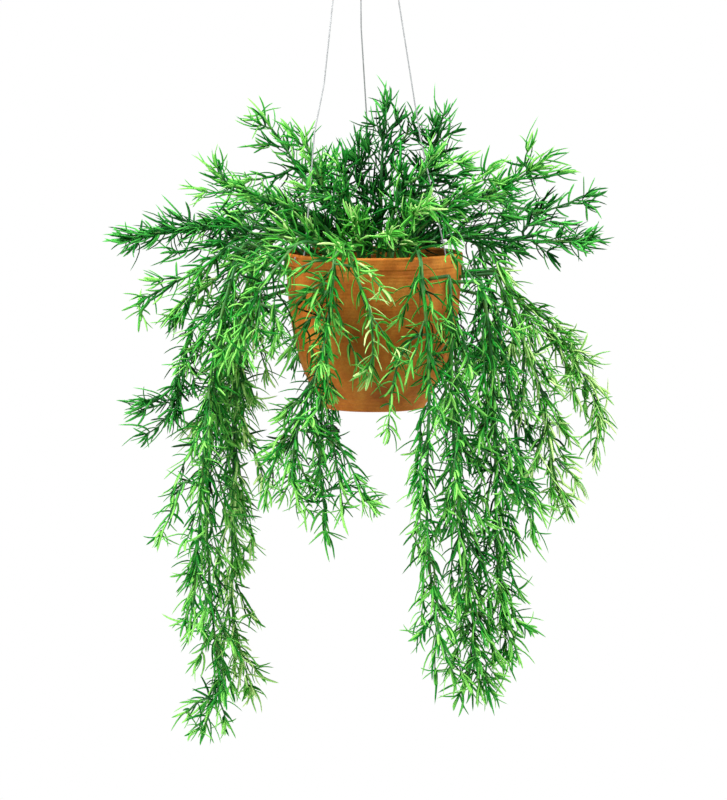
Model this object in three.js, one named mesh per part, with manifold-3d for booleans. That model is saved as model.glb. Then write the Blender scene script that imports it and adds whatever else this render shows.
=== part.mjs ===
// A potted asparagus fern. A terracotta pot of soil hangs from a bent wire hook by three thin wires.
// Leafy stems stand up from the soil, arch over the rim and trail below the pot.
// Millimetres, +Z up. The origin is the inside of the hook's crown, where the plant is held.
import * as THREE from "three";
import { mergeVertices } from "three/addons/utils/BufferGeometryUtils.js";
import Module from "manifold-3d";

// Driving sizes. The 152 mm rim is a six-inch hanging pot, and sets the scale of the rest. Heights in
// the pot and the plant are measured from the top of the rim, and are negative below it.
const HANG_DROP = 448; // from the inside of the hook's crown down to the top of the rim
const POT_SHIFT = 13; // the pot's axis hangs this far to the right of its hook
const RIM_RADIUS = 76;
const MOUTH_RADIUS = 71.3;
const POT_BASE = -133.5;
const POT_FLOOR = -127.5;
const FLOOR_RADIUS = 38; // of the flat floor inside the pot
const POT_SIDES = 28;
const FIT_GAP = 0.3;
const SOIL_TOP = -12; // height of the soil at the pot's axis, below the top of the rim
const DRAIN_RADIUS = 6;
const WALL_HOLE_RADIUS = 1.6;
const WALL_HOLE_DEPTH = 6.5; // of the three wire holes, below the top of the rim
const DRILL_LENGTH = 16;
const DRILL_SIDES = 8;
const SOIL_HOLE_SIDES = 5;
const WIRE_RADIUS = 0.6;
const WIRE_SIDES = 5;
const HOOK_RADIUS = 1.25;
const HOOK_SIDES = 8;
const CROOK_RADIUS = 9;
const EYE_RADIUS = 5;
const EYE_DROP = 42; // from the inside of the hook's crown down to the middle of its eye

// The foliage. A whorl is a ring of needles, and each needle is a face of the stem raised to a point.
const NEEDLE_LENGTH = [17, 25];
const NEEDLE_LEAN = [44, 62]; // degrees between a needle and its stem
const NEEDLE_THICKNESS = 0.5;
const WHORL_BAND = 1.6;
const BRANCH_RADIUS = 0.85;
const BRANCH_STEPS = 8; // straight lengths of a branch, each of them tested for room
const FEWEST_STEPS = 4; // a branch with room for fewer is left out
const BRANCH_TURNS = [0, 50, -50, 100]; // degrees by which a branch may turn to find room
const BRANCH_ROOM = 0.5; // kept free round a branch, beyond its own radius
const FOOT_ROOM = 8; // a branch may touch its own stem this near its foot
const BRANCH_WHORLS = 30; // distance between the whorls of a branch
const GOLDEN_ANGLE = 137.5;
const ROOT_DEPTH = 13;
const CURVE_STEPS = 12; // between two points of a stem's route
const STEM_SIDES = 3;
const BRANCH_SIDES = 3;
const CLEARANCE = 0.7;
const RING_STEP = 20; // between the rings of a bare stretch of stem
const STEM_NEEDLES = 3; // in a whorl of a stem, where a branch takes the place of a fourth
const BRANCH_NEEDLES = 4;
const TIP_LENGTH = 16; // the bare point beyond a twig's last whorl
const TIP_REACH = 11; // how far a stem's point runs straight on beyond its route
const NEEDLE_IDS = 10000; // added to a twig's number to number its needles
const BRANCH_SEEDS = 100; // a branch's seed is this times its stem's number, plus its own

// The three ways that a stem grows: where it leaves the soil, how thick it is and how it branches. Its
// branches lean from it by an angle within two limits, in degrees.
const RISE = {
  root: 12, rows: 0, foot: 1.7, end: 0.9, bare: 16, spacing: 38, branch: 40, lean: [34, 50], droop: 0.1,
};
const ARCH = {
  root: 24, rows: 0, foot: 1.7, end: 0.9, bare: 18, spacing: 48, branch: 38, lean: [30, 44], droop: 0.15,
};
const TRAIL = {
  root: 38, rows: 10, foot: 1.8, end: 0.9, bare: 66, spacing: 70, branch: 50, lean: [28, 44], droop: 0.6,
};

const STEEL = 0x8f9090;
const TERRACOTTA = 0xb06a35;
const EARTH = 0x3b2b20;
const DARK = 0x1d6b2c;
const MID = 0x2f8a35;
const LIGHT = 0x63a83a;

// Each stem's name, way of growing, colour and route. A route is chosen by eye, in millimetres from
// the middle of the rim, with +X to the right and +Y to the back, and ends at the stem's tip.
const STEMS = [
  ["trail_left_back", TRAIL, DARK, [[-90, 21, 12], [-112, 24, -43], [-124, 24, -105], [-127, 24, -160],
    [-124, 24, -200], [-116, 24, -226]]],
  ["arch_left_low", TRAIL, MID, [[-112, 9, 16], [-140, 11, -12], [-158, 12, -36], [-172, 12, -56]]],
  ["trail_left_inner", TRAIL, LIGHT, [[-92, -4, 12], [-107, -5, -42], [-117, -5, -110],
    [-121, -5, -196], [-122, -6, -262], [-121, -7, -318], [-110, -8, -362], [-103, -8, -382]]],
  ["trail_left_outer", TRAIL, DARK, [[-110, -14, 14], [-138, -15, -22], [-158, -16, -70],
    [-165, -17, -102], [-180, -18, -122], [-199, -18, -129]]],
  ["trail_left_long", TRAIL, MID, [[-98, -24, 12], [-120, -28, -10], [-128, -30, -66],
    [-138, -30, -142], [-143, -28, -228], [-138, -28, -314], [-133, -26, -368], [-146, -26, -408]]],
  ["arch_left_front", TRAIL, MID, [[-104, -36, 16], [-147, -44, -12], [-172, -48, -24],
    [-196, -50, -37]]],
  ["trail_left_front", TRAIL, MID, [[-100, -44, 12], [-126, -54, -38], [-141, -58, -124],
    [-147, -58, -209], [-152, -56, -278], [-157, -56, -318]]],
  ["trail_front_left", TRAIL, MID, [[-31, -86, 8], [-35, -94, -22], [-40, -94, -60], [-50, -93, -98],
    [-60, -91, -128], [-67, -89, -158], [-68, -88, -186], [-63, -86, -208]]],
  ["trail_front_middle", TRAIL, LIGHT, [[-22, -84, 10], [-14, -94, -16], [-4, -96, -42],
    [-1, -96, -76], [-3, -95, -98]]],
  ["trail_front_right", TRAIL, MID, [[36, -80, 8], [41, -91, -26], [45, -94, -70], [46, -94, -116],
    [45, -91, -158], [44, -89, -200], [46, -87, -246], [50, -84, -290], [58, -82, -328],
    [68, -80, -354]]],
  ["trail_right_main", TRAIL, MID, [[56, -68, 12], [63, -75, -16], [65, -76, -62], [65, -75, -105],
    [67, -73, -148], [72, -70, -208], [79, -67, -268], [86, -64, -329], [91, -62, -370]]],
  ["trail_right_inner", TRAIL, MID, [[76, -57, 12], [92, -60, -30], [101, -57, -107], [103, -55, -184],
    [104, -54, -250], [110, -56, -306], [113, -58, -344]]],
  ["trail_right_mid", TRAIL, LIGHT, [[84, -22, 12], [106, -24, -24], [120, -26, -60], [137, -26, -98],
    [147, -26, -138], [152, -26, -178], [160, -26, -212]]],
  ["trail_right_outer", TRAIL, LIGHT, [[88, 6, 10], [115, 7, -30], [148, 8, -70], [174, 8, -97],
    [188, 8, -124], [195, 8, -148]]],
  ["trail_right_back", TRAIL, DARK, [[82, 30, 10], [100, 38, -28], [112, 43, -90], [122, 42, -150],
    [130, 42, -196], [134, 42, -220]]],
  ["trail_back_right", TRAIL, DARK, [[70, 54, 14], [92, 74, -24], [100, 84, -96], [98, 84, -160]]],
  ["trail_back_long", TRAIL, DARK, [[52, 74, 14], [66, 96, -26], [72, 104, -104], [74, 102, -186],
    [70, 98, -250]]],
  ["trail_back_short", TRAIL, MID, [[24, 92, 16], [30, 116, -20], [28, 122, -70], [20, 120, -112]]],
  ["trail_back_middle", TRAIL, MID, [[-14, 90, 16], [-12, 112, -18], [-10, 118, -84],
    [-8, 114, -122]]],
  ["trail_back_left", TRAIL, DARK, [[-52, 74, 14], [-50, 98, -26], [-46, 104, -104], [-46, 102, -172],
    [-48, 98, -204]]],
  ["trail_back_outer", TRAIL, MID, [[-84, 48, 14], [-108, 64, -24], [-118, 72, -92],
    [-116, 72, -158]]],
  ["rise_middle", RISE, DARK, [[6, 5, 30], [6, 5, 66], [11, 5, 130]]],
  ["rise_right", RISE, DARK, [[26, 12, 30], [40, 14, 56], [51, 15, 88], [60, 15, 119]]],
  ["rise_left", RISE, MID, [[-26, -5, 30], [-43, -6, 55], [-60, -6, 101]]],
  ["rise_left_arch", RISE, LIGHT, [[-34, 16, 32], [-60, 22, 60], [-76, 22, 88], [-99, 22, 119]]],
  ["rise_centre_left", RISE, MID, [[-14, -14, 28], [-21, -16, 46], [-26, -16, 80]]],
  ["rise_back", RISE, DARK, [[-8, 24, 44], [-12, 36, 68], [-13, 44, 92]]],
  ["rise_front", RISE, MID, [[14, -20, 26], [19, -30, 44], [22, -36, 74]]],
  ["arch_right_high", ARCH, MID, [[46, 7, 26], [84, 7, 42], [120, 6, 60], [147, 6, 80]]],
  ["arch_right_front", ARCH, MID, [[38, -20, 28], [60, -24, 40], [84, -26, 58], [98, -28, 74]]],
  ["arch_left_high", ARCH, MID, [[-46, -8, 26], [-74, -11, 40], [-108, -13, 52], [-134, -13, 66]]],
  ["arch_left_level", ARCH, DARK, [[-52, 4, 14], [-90, 2, 20], [-150, -2, 23], [-190, -4, 14],
    [-216, -4, 9]]],
  ["arch_right_level", ARCH, DARK, [[52, 20, 14], [92, 26, 20], [150, 28, 34], [187, 28, 48]]],
  ["arch_right_low", ARCH, DARK, [[56, -8, 12], [108, -10, 12], [154, -12, 10], [188, -12, 14]]],
  ["arch_front_right", ARCH, LIGHT, [[22, -42, 20], [32, -64, 34], [42, -82, 44]]],
  ["arch_front", ARCH, LIGHT, [[6, -52, 14], [10, -72, 22], [13, -90, 20]]],
  ["arch_front_left", ARCH, LIGHT, [[-14, -44, 20], [-18, -66, 32]]],
  ["arch_left_droop", ARCH, LIGHT, [[-50, -40, 14], [-76, -66, 12], [-92, -80, -2]]],
  ["trail_left_near", TRAIL, MID, [[-58, -72, 14], [-82, -96, -6], [-102, -108, -36],
    [-120, -112, -82]]],
  ["arch_back_left", ARCH, MID, [[-20, 50, 32], [-40, 108, 62], [-52, 154, 58]]],
  ["arch_back_right", ARCH, MID, [[28, 46, 32], [58, 104, 68], [82, 146, 68]]],
  ["arch_back_outer", ARCH, DARK, [[-42, 38, 22], [-90, 86, 42], [-128, 126, 30]]],
  ["arch_back_low", ARCH, DARK, [[46, 36, 20], [96, 74, 42], [140, 108, 26]]],
  ["arch_left_back", ARCH, MID, [[-52, 24, 16], [-102, 42, 32], [-150, 58, 16]]],
];

// Outlines of the pot's outside and inside and of the soil's edge, as radius and height.
const POT_SKIN = [
  [DRAIN_RADIUS, POT_BASE], [43, POT_BASE], [45, -130.5], [50, -121.5], [58, -108], [63, -94.5], [68, -75],
  [72.4, -52], [75, -11], [RIM_RADIUS, -10], [RIM_RADIUS, -1], [75.2, 0],
];
const POT_INSIDE = [
  [72.2, 0], [MOUTH_RADIUS, -1], [MOUTH_RADIUS, -14], [68.4, -52], [59, -93.5], [45, -119],
  [FLOOR_RADIUS, POT_FLOOR], [DRAIN_RADIUS, POT_FLOOR],
];
const SOIL_EDGE = [[66, SOIL_TOP - 2], [30, SOIL_TOP - 0.5]];

const wasm = await Module();
wasm.setup();

const radians = THREE.MathUtils.degToRad;
const vector = (x, y, z) => new THREE.Vector3(x, y, z);
const polar = (radius, degrees, z) =>
  vector(radius * Math.cos(radians(degrees)), radius * Math.sin(radians(degrees)), z);

// A repeatable random number from 0 to 1, the same on every run.
function randomFrom(seed) {
  let state = (seed * 7919 + 12345) % 2147483647;
  return () => {
    state = (state * 16807) % 2147483647;
    return state / 2147483647;
  };
}

function solidFrom(geometry) {
  const bare = geometry.clone();
  bare.deleteAttribute("normal");
  bare.deleteAttribute("uv");
  const merged = mergeVertices(bare, 1e-4);
  return new wasm.Manifold(
    new wasm.Mesh({
      numProp: 3,
      vertProperties: new Float32Array(merged.attributes.position.array),
      triVerts: new Uint32Array(merged.index.array),
    }),
  );
}

function geometryFrom(solid) {
  const mesh = solid.getMesh();
  const geometry = new THREE.BufferGeometry();
  geometry.setAttribute("position", new THREE.BufferAttribute(mesh.vertProperties, 3));
  geometry.setIndex(new THREE.BufferAttribute(mesh.triVerts, 1));
  geometry.computeVertexNormals();
  return geometry;
}

// A lathe turns about Y, so its solid is stood up to turn about Z.
function turned(profile, sides) {
  const points = profile.map(([r, z]) => new THREE.Vector2(r, z));
  return new THREE.LatheGeometry(points, sides).rotateX(Math.PI / 2);
}

function discShape(radius, sides) {
  const corners = [];
  for (let i = 0; i < sides; i++) {
    const angle = (2 * Math.PI * i) / sides;
    corners.push(new THREE.Vector2(radius * Math.cos(angle), radius * Math.sin(angle)));
  }
  return new THREE.Shape(corners);
}

// A round wire with flat ends along a smooth curve through the given points.
function wireAlong(points, radius, sides, steps) {
  return new THREE.ExtrudeGeometry(discShape(radius, sides), {
    extrudePath: new THREE.CatmullRomCurve3(points, false, "centripetal"),
    steps,
  });
}

function joined(geometries) {
  return geometryFrom(wasm.Manifold.union(geometries.map(solidFrom)));
}

// The pot is a turned shell with a drain hole, and three small holes under its rim for the wires.
function potGeometry() {
  const outline = [...POT_SKIN, ...POT_INSIDE, POT_SKIN[0]];
  let pot = solidFrom(turned(outline, POT_SIDES));
  for (const { angle } of WIRES) {
    const drill =
      new THREE.CylinderGeometry(WALL_HOLE_RADIUS, WALL_HOLE_RADIUS, DRILL_LENGTH, DRILL_SIDES);
    drill.rotateZ(Math.PI / 2);
    drill.translate(RIM_RADIUS, 0, -WALL_HOLE_DEPTH);
    drill.rotateZ(radians(angle));
    pot = pot.subtract(solidFrom(drill));
  }
  return geometryFrom(pot);
}

// The soil fills the pot, with a plain hole for each stem.
function soilGeometry(stems) {
  const wall = POT_INSIDE.filter(([, z]) => z < SOIL_TOP && z > POT_FLOOR)
    .map(([r, z]) => [r - FIT_GAP, z]);
  const floor = POT_FLOOR + FIT_GAP;
  const foot = [[0, floor], [FLOOR_RADIUS - FIT_GAP, floor]];
  const outline = [...foot, ...wall.toReversed(), ...SOIL_EDGE, [0, SOIL_TOP]];
  let soil = solidFrom(turned(outline, POT_SIDES));
  for (const { line, way } of stems) {
    const { x, y, z } = line.place(ROOT_DEPTH).p;
    const across = (way.foot + FIT_GAP) / Math.cos(Math.PI / SOIL_HOLE_SIDES);
    const deep = 2 * ROOT_DEPTH + 2 * FIT_GAP;
    const hole = new THREE.CylinderGeometry(across, across, deep, SOIL_HOLE_SIDES);
    hole.rotateX(Math.PI / 2);
    hole.translate(x, y, z);
    soil = soil.subtract(solidFrom(hole));
  }
  return geometryFrom(soil);
}

// The hook is one bent wire: an open crook above, a neck and a closed eye below.
function hookGeometry() {
  const bend = CROOK_RADIUS + HOOK_RADIUS;
  const points = [];
  for (let angle = -30; angle <= 180; angle += 30) {
    const turn = radians(angle);
    points.push(vector(bend * Math.cos(turn), 0, bend * Math.sin(turn) - CROOK_RADIUS));
  }
  points.push(vector(-8.4, 0, -19), vector(-3, 0, -27), vector(0, 0, EYE_RADIUS - EYE_DROP + 0.5));
  const eye = new THREE.TorusGeometry(EYE_RADIUS + HOOK_RADIUS, HOOK_RADIUS, HOOK_SIDES, 16);
  eye.rotateX(Math.PI / 2);
  eye.translate(0, 0, -EYE_DROP);
  return joined([wireAlong(points, HOOK_RADIUS, HOOK_SIDES, 22), eye]);
}

// Each wire ends above in a loop through the hook's eye, and below in a bend through the pot's wall.
// Its straight lengths run between slight kinks, given from the middle of the rim.
const WIRES = [
  { name: "wire_left", angle: 211, across: -2.3, kinks: [[-42.5, -14, 144], [-50.5, -26, 104]] },
  { name: "wire_back", angle: 91, across: 0, kinks: [[-11, 32, 190], [-6.4, 49, 115]] },
  { name: "wire_right", angle: 331, across: 2.3, kinks: [[20.6, -15, 216], [39, -25, 100]] },
];
const LOOP_RADIUS = 2.7;
const LOOP_DROP = EYE_DROP + EYE_RADIUS + HOOK_RADIUS + 0.1;
const WIRE_INSET = MOUTH_RADIUS * Math.cos(Math.PI / POT_SIDES) - FIT_GAP - WIRE_RADIUS;

// The lengths of a wire from its loop down to the inside of the rim, from the middle of the rim.
function wireSpan({ angle, across, kinks }) {
  const top = vector(across - POT_SHIFT, 0, HANG_DROP - LOOP_DROP - LOOP_RADIUS);
  return [top, ...kinks.map((kink) => vector(...kink)), polar(WIRE_INSET - 2, angle, 6)];
}

function wireGeometry(wire) {
  const { angle, across } = wire;
  const loop = new THREE.TorusGeometry(LOOP_RADIUS, WIRE_RADIUS, WIRE_SIDES, 10);
  loop.rotateY(Math.PI / 2);
  loop.translate(across - POT_SHIFT, 0, HANG_DROP - LOOP_DROP);
  const bend = [
    polar(WIRE_INSET - 2, angle, 6),
    polar(WIRE_INSET - 0.3, angle, -2),
    polar(WIRE_INSET + 0.1, angle, -WALL_HOLE_DEPTH + 1.1),
    polar(WIRE_INSET + 1.4, angle, -WALL_HOLE_DEPTH),
    polar(RIM_RADIUS, angle, -WALL_HOLE_DEPTH),
    polar(RIM_RADIUS + 1.6, angle, -WALL_HOLE_DEPTH + 0.6),
    polar(RIM_RADIUS + 2.1, angle, -WALL_HOLE_DEPTH + 2.6),
    polar(RIM_RADIUS + 2.1, angle, -WALL_HOLE_DEPTH + 5),
  ];
  const pieces = [loop, wireAlong(bend, WIRE_RADIUS, WIRE_SIDES, 10)];
  const span = wireSpan(wire);
  for (let i = 0; i + 1 < span.length; i++) {
    pieces.push(wireAlong([span[i], span[i + 1]], WIRE_RADIUS, WIRE_SIDES, 1));
  }
  return joined(pieces);
}

// A stem's centre line: upright out of the soil, a smooth curve through its route, and a straight
// point beyond it.
function stemLine(way, route, index) {
  const first = route[0];
  const heading = Math.atan2(first[1], first[0]);
  const row = way.root + (index % 2) * way.rows;
  const reach = Math.min(row, 0.55 * Math.hypot(first[0], first[1]));
  const foot = vector(reach * Math.cos(heading), reach * Math.sin(heading), SOIL_TOP + 1);
  const points = [foot, ...route.map((p) => vector(...p))];
  const slopes = points.map((p, i) => {
    if (i === 0) return vector(0, 0, 0.9 * p.distanceTo(points[1]));
    if (i === points.length - 1) return p.clone().sub(points[i - 1]);
    return points[i + 1].clone().sub(points[i - 1]).multiplyScalar(0.5);
  });
  const line = [vector(foot.x, foot.y, foot.z - ROOT_DEPTH)];
  for (let i = 0; i + 1 < points.length; i++) {
    for (let j = i ? 1 : 0; j <= CURVE_STEPS; j++) {
      const u = j / CURVE_STEPS;
      const a = 2 * u ** 3 - 3 * u ** 2 + 1;
      const b = u ** 3 - 2 * u ** 2 + u;
      const c = 3 * u ** 2 - 2 * u ** 3;
      const d = u ** 3 - u ** 2;
      line.push(
        vector(0, 0, 0)
          .addScaledVector(points[i], a)
          .addScaledVector(slopes[i], b)
          .addScaledVector(points[i + 1], c)
          .addScaledVector(slopes[i + 1], d),
      );
    }
  }
  const [before, last] = line.slice(-2);
  line.push(last.clone().sub(before).setLength(TIP_REACH).add(last));
  return line;
}

// Places along a line of points by distance: position, direction and two directions across it.
function measured(points) {
  const at = [0];
  for (let i = 1; i < points.length; i++) at.push(at[i - 1] + points[i].distanceTo(points[i - 1]));
  const forward = points.map((p, i) =>
    points[Math.min(i + 1, points.length - 1)].clone().sub(points[Math.max(i - 1, 0)]).normalize());
  const side = [vector(1, 0, 0).addScaledVector(forward[0], -forward[0].x).normalize()];
  for (let i = 1; i < points.length; i++) {
    const carried = side[i - 1].clone().addScaledVector(forward[i], -side[i - 1].dot(forward[i]));
    side.push(carried.normalize());
  }
  const place = (s) => {
    let i = 0;
    while (i + 2 < at.length && at[i + 1] < s) i++;
    const u = (s - at[i]) / (at[i + 1] - at[i]);
    const blend = (list) => list[i].clone().lerp(list[i + 1], u);
    const T = blend(forward).normalize();
    const N = blend(side);
    N.addScaledVector(T, -N.dot(T)).normalize();
    return { p: blend(points), T, N, B: T.clone().cross(N) };
  };
  return { length: at[at.length - 1], place };
}

// The shortest distance between two straight lengths, for keeping stems and needles apart.
function gapBetween(p1, q1, p2, q2) {
  const d1 = q1.clone().sub(p1);
  const d2 = q2.clone().sub(p2);
  const r = p1.clone().sub(p2);
  const a = d1.dot(d1);
  const e = d2.dot(d2);
  const f = d2.dot(r);
  const c = d1.dot(r);
  const b = d1.dot(d2);
  const clamp = THREE.MathUtils.clamp;
  const denominator = a * e - b * b;
  let s = denominator > 1e-9 ? clamp((b * f - c * e) / denominator, 0, 1) : 0;
  let t = (b * s + f) / e;
  if (t < 0 || t > 1) {
    t = clamp(t, 0, 1);
    s = clamp((b * t - c) / a, 0, 1);
  }
  return p1.clone().addScaledVector(d1, s).distanceTo(p2.clone().addScaledVector(d2, t));
}

// Everything placed so far, as straight lengths with a radius, an owner and a twig within it.
const placed = [];

function isClear(from, to, radius, free) {
  const middle = from.clone().add(to).multiplyScalar(0.5);
  const half = from.distanceTo(to) / 2;
  for (const other of placed) {
    const room = radius + other.radius + CLEARANCE;
    if (middle.distanceTo(other.middle) > half + other.half + room) continue;
    if (free(other)) continue;
    if (gapBetween(from, to, other.from, other.to) < room) return false;
  }
  return true;
}

function remember(from, to, radius, owner, twig) {
  placed.push({
    from, to, radius, owner, twig,
    middle: from.clone().add(to).multiplyScalar(0.5),
    half: from.distanceTo(to) / 2,
  });
}

// The pot's outer radius at a height, with a little room above its rim and under its base.
function potRadiusAt(z) {
  if (z > 2 || z < POT_BASE - 5) return 0;
  for (let i = 1; i < POT_SKIN.length; i++) {
    const [r0, z0] = POT_SKIN[i - 1];
    const [r1, z1] = POT_SKIN[i];
    if (z1 > z0 && z <= z1) return r0 + ((r1 - r0) * Math.max(z - z0, 0)) / (z1 - z0);
  }
  return RIM_RADIUS;
}

// Whether a straight length stays outside the pot, or above the soil and inside its rim.
function isOffPot(from, to, margin) {
  for (let i = 0; i <= 6; i++) {
    const point = from.clone().lerp(to, i / 6);
    const r = Math.hypot(point.x, point.y);
    const inside = point.z > SOIL_TOP + 1 + margin && r < MOUTH_RADIUS - margin;
    if (!inside && r < potRadiusAt(point.z) + margin) return false;
  }
  return true;
}

// A twig is a stem or a branch: a line, a radius that falls along it and the distances of its whorls.
function growTwigs() {
  const twigs = [];
  STEMS.forEach(([name, way, , route], index) => {
    const line = measured(stemLine(way, route, index));
    const random = randomFrom(index + 1);
    const start = ROOT_DEPTH + way.bare;
    const last = line.length - TIP_LENGTH;
    const stem = {
      name, way, line, random, id: twigs.length, end: line.length,
      whorls: evenly(start, last, way.spacing),
      radius: (s) => THREE.MathUtils.lerp(way.foot, way.end, s / line.length),
      sides: STEM_SIDES, phase: 360 * random(),
    };
    twigs.push(stem);
    ringTwig(stem);
  });
  for (const stem of [...twigs]) addBranches(stem, twigs);
  return twigs;
}

// Distances from start to last, as near to the spacing as whole steps allow.
function evenly(start, last, spacing) {
  const count = Math.max(1, Math.round((last - start) / spacing));
  return Array.from({ length: count + 1 }, (_, i) => start + ((last - start) * i) / count);
}

// Where a twig has a ring of corners: at its foot, where a stem leaves the soil, at close steps up to
// the first whorl, and on both sides of each whorl. Its lengths between rings are straight.
function ringTwig(twig) {
  const [first] = twig.whorls;
  const isStem = twig.id < STEMS.length;
  const bend = isStem ? ROOT_DEPTH : 0;
  const steps = Math.ceil((first - bend) / RING_STEP);
  twig.rings = isStem ? [{ s: 0 }] : [];
  for (let i = 0; i < steps; i++) twig.rings.push({ s: bend + ((first - bend) * i) / steps });
  for (const whorl of twig.whorls) {
    twig.rings.push({ s: whorl - WHORL_BAND / 2, whorl }, { s: whorl + WHORL_BAND / 2 });
  }
  const ends = [...twig.rings.map(({ s }) => s), twig.end];
  for (let i = 0; i + 1 < ends.length; i++) {
    const from = twig.line.place(ends[i]).p;
    const to = twig.line.place(ends[i + 1]).p;
    remember(from, to, twig.radius(ends[i]), twig.name, twig.id);
  }
}

// Branches leave a stem in turn about it by the golden angle, lean forward and droop by their weight.
function addBranches(stem, twigs) {
  const { way, line, random } = stem;
  let turn = 360 * random();
  for (const [number, whorl] of stem.whorls.slice(0, -1).entries()) {
    const s = whorl + WHORL_BAND / 2;
    turn += GOLDEN_ANGLE;
    const along = s / line.length;
    const wanted = way.branch * (1.05 - 0.45 * along) * (0.8 + 0.4 * random());
    const lean = radians(THREE.MathUtils.lerp(...way.lean, random()));
    const phase = 360 * random();
    const { p, T, N, B } = line.place(s);
    let best = null;
    for (const shift of BRANCH_TURNS) {
      const around = radians(turn + shift);
      const out = N.clone().multiplyScalar(Math.cos(around)).addScaledVector(B, Math.sin(around));
      const heading = T.clone().multiplyScalar(Math.cos(lean)).addScaledVector(out, Math.sin(lean));
      const points = [];
      for (let i = 0; i <= BRANCH_STEPS; i++) {
        const u = i / BRANCH_STEPS;
        const point = p.clone().addScaledVector(heading, wanted * u);
        point.z -= way.droop * wanted * u * u * 0.5;
        points.push(point);
      }
      const reach = clearReach(points, stem, p);
      if (!best || reach > best.reach) best = { points, reach };
      if (reach === BRANCH_STEPS) break;
    }
    if (best.reach < FEWEST_STEPS) continue;
    const twigLine = measured(best.points.slice(0, best.reach + 1));
    const branch = {
      name: stem.name, way, line: twigLine, random: randomFrom(BRANCH_SEEDS * (stem.id + 1) + number),
      whorls: evenly(9, twigLine.length - TIP_LENGTH, BRANCH_WHORLS),
      id: twigs.length, end: twigLine.length, sides: BRANCH_SIDES, phase,
      radius: (d) => BRANCH_RADIUS * (1 - (0.3 * d) / twigLine.length),
    };
    twigs.push(branch);
    ringTwig(branch);
  }
}

// How many steps of a branch keep clear of the pot and of everything placed before it.
function clearReach(points, stem, foot) {
  for (let i = 0; i < BRANCH_STEPS; i++) {
    const own = (other) => other.twig === stem.id && points[i].distanceTo(foot) < FOOT_ROOM;
    const fits = isClear(points[i], points[i + 1], BRANCH_RADIUS + BRANCH_ROOM, own)
      && isOffPot(points[i], points[i + 1], 2);
    if (!fits) return i;
  }
  return BRANCH_STEPS;
}

// The needles of a whorl are faces of a short band of the twig, each raised to a point.
function growWhorl(twig, s) {
  const { line, sides, random } = twig;
  const wanted = twig.id < STEMS.length ? STEM_NEEDLES : BRANCH_NEEDLES;
  const turn = Math.floor(random() * 2 * sides);
  const { p, T, N, B } = line.place(s);
  const raised = [];
  for (let i = 0; i < wanted; i++) {
    const slot = (turn + Math.floor((i * 2 * sides) / wanted)) % (2 * sides);
    const length = THREE.MathUtils.lerp(...NEEDLE_LENGTH, random());
    const lean = radians(THREE.MathUtils.lerp(...NEEDLE_LEAN, random()));
    const around = radians(twig.phase + (90 + 180 * slot) / sides);
    const out = N.clone().multiplyScalar(Math.cos(around)).addScaledVector(B, Math.sin(around));
    const heading = T.clone().multiplyScalar(Math.cos(lean)).addScaledVector(out, Math.sin(lean));
    const foot = p.clone().addScaledVector(out, 0.6 * twig.radius(s));
    const tip = foot.clone().addScaledVector(heading, length);
    const middle = foot.clone().lerp(tip, 0.5);
    const free = (other) => other.owner === twig.name && other.twig !== twig.id + NEEDLE_IDS;
    if (!isOffPot(foot, tip, 1)) continue;
    if (!isClear(foot, middle, 0.8 * twig.radius(s), free)) continue;
    if (!isClear(middle, tip, NEEDLE_THICKNESS, free)) continue;
    raised.push({ slot, foot, middle, tip });
  }
  for (const { foot, middle, tip } of raised) {
    remember(foot, middle, 0.8 * twig.radius(s), twig.name, twig.id + NEEDLE_IDS);
    remember(middle, tip, NEEDLE_THICKNESS, twig.name, twig.id + NEEDLE_IDS);
  }
  return raised;
}

function twigGeometry(twig) {
  const { line, sides, end, rings } = twig;
  const points = [];
  for (const { s } of rings) {
    const { p, N, B } = line.place(s);
    for (let k = 0; k < sides; k++) {
      const angle = radians(twig.phase + (360 * k) / sides);
      const r = twig.radius(s);
      points.push(
        p.clone().addScaledVector(N, r * Math.cos(angle)).addScaledVector(B, r * Math.sin(angle)),
      );
    }
  }
  const faces = [];
  for (let k = 1; k + 1 < sides; k++) faces.push([0, k + 1, k]);
  for (let i = 0; i + 1 < rings.length; i++) {
    const needles = rings[i].whorl ? growWhorl(twig, rings[i].whorl) : [];
    for (let k = 0; k < sides; k++) {
      const a = i * sides + k;
      const b = i * sides + ((k + 1) % sides);
      const pair = [[a, b, a + sides], [b, b + sides, a + sides]];
      pair.forEach((face, half) => {
        const needle = needles.find(({ slot }) => slot === 2 * k + half);
        if (!needle) {
          faces.push(face);
          return;
        }
        const tip = points.push(needle.tip) - 1;
        for (let side = 0; side < 3; side++) faces.push([face[side], face[(side + 1) % 3], tip]);
      });
    }
  }
  const apex = points.push(line.place(end).p) - 1;
  const top = (rings.length - 1) * sides;
  for (let k = 0; k < sides; k++) faces.push([top + k, top + ((k + 1) % sides), apex]);
  const geometry = new THREE.BufferGeometry();
  const coordinates = points.flatMap((point) => point.toArray());
  geometry.setAttribute("position", new THREE.Float32BufferAttribute(coordinates, 3));
  geometry.setIndex(faces.flat());
  return geometry;
}

const group = new THREE.Group();
const hung = new THREE.Group();
hung.position.set(POT_SHIFT, 0, -HANG_DROP);
group.add(hung);

function add(parent, name, geometry, color, roughness, metalness = 0) {
  const material = new THREE.MeshStandardMaterial({ color, roughness, metalness });
  const mesh = new THREE.Mesh(geometry, material);
  mesh.name = name;
  parent.add(mesh);
}

add(group, "hook", hookGeometry(), STEEL, 0.35, 1);
for (const wire of WIRES) {
  const span = wireSpan(wire);
  for (let i = 0; i + 1 < span.length; i++) remember(span[i], span[i + 1], WIRE_RADIUS, wire.name, -1);
  add(hung, wire.name, wireGeometry(wire), STEEL, 0.4, 1);
}

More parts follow.
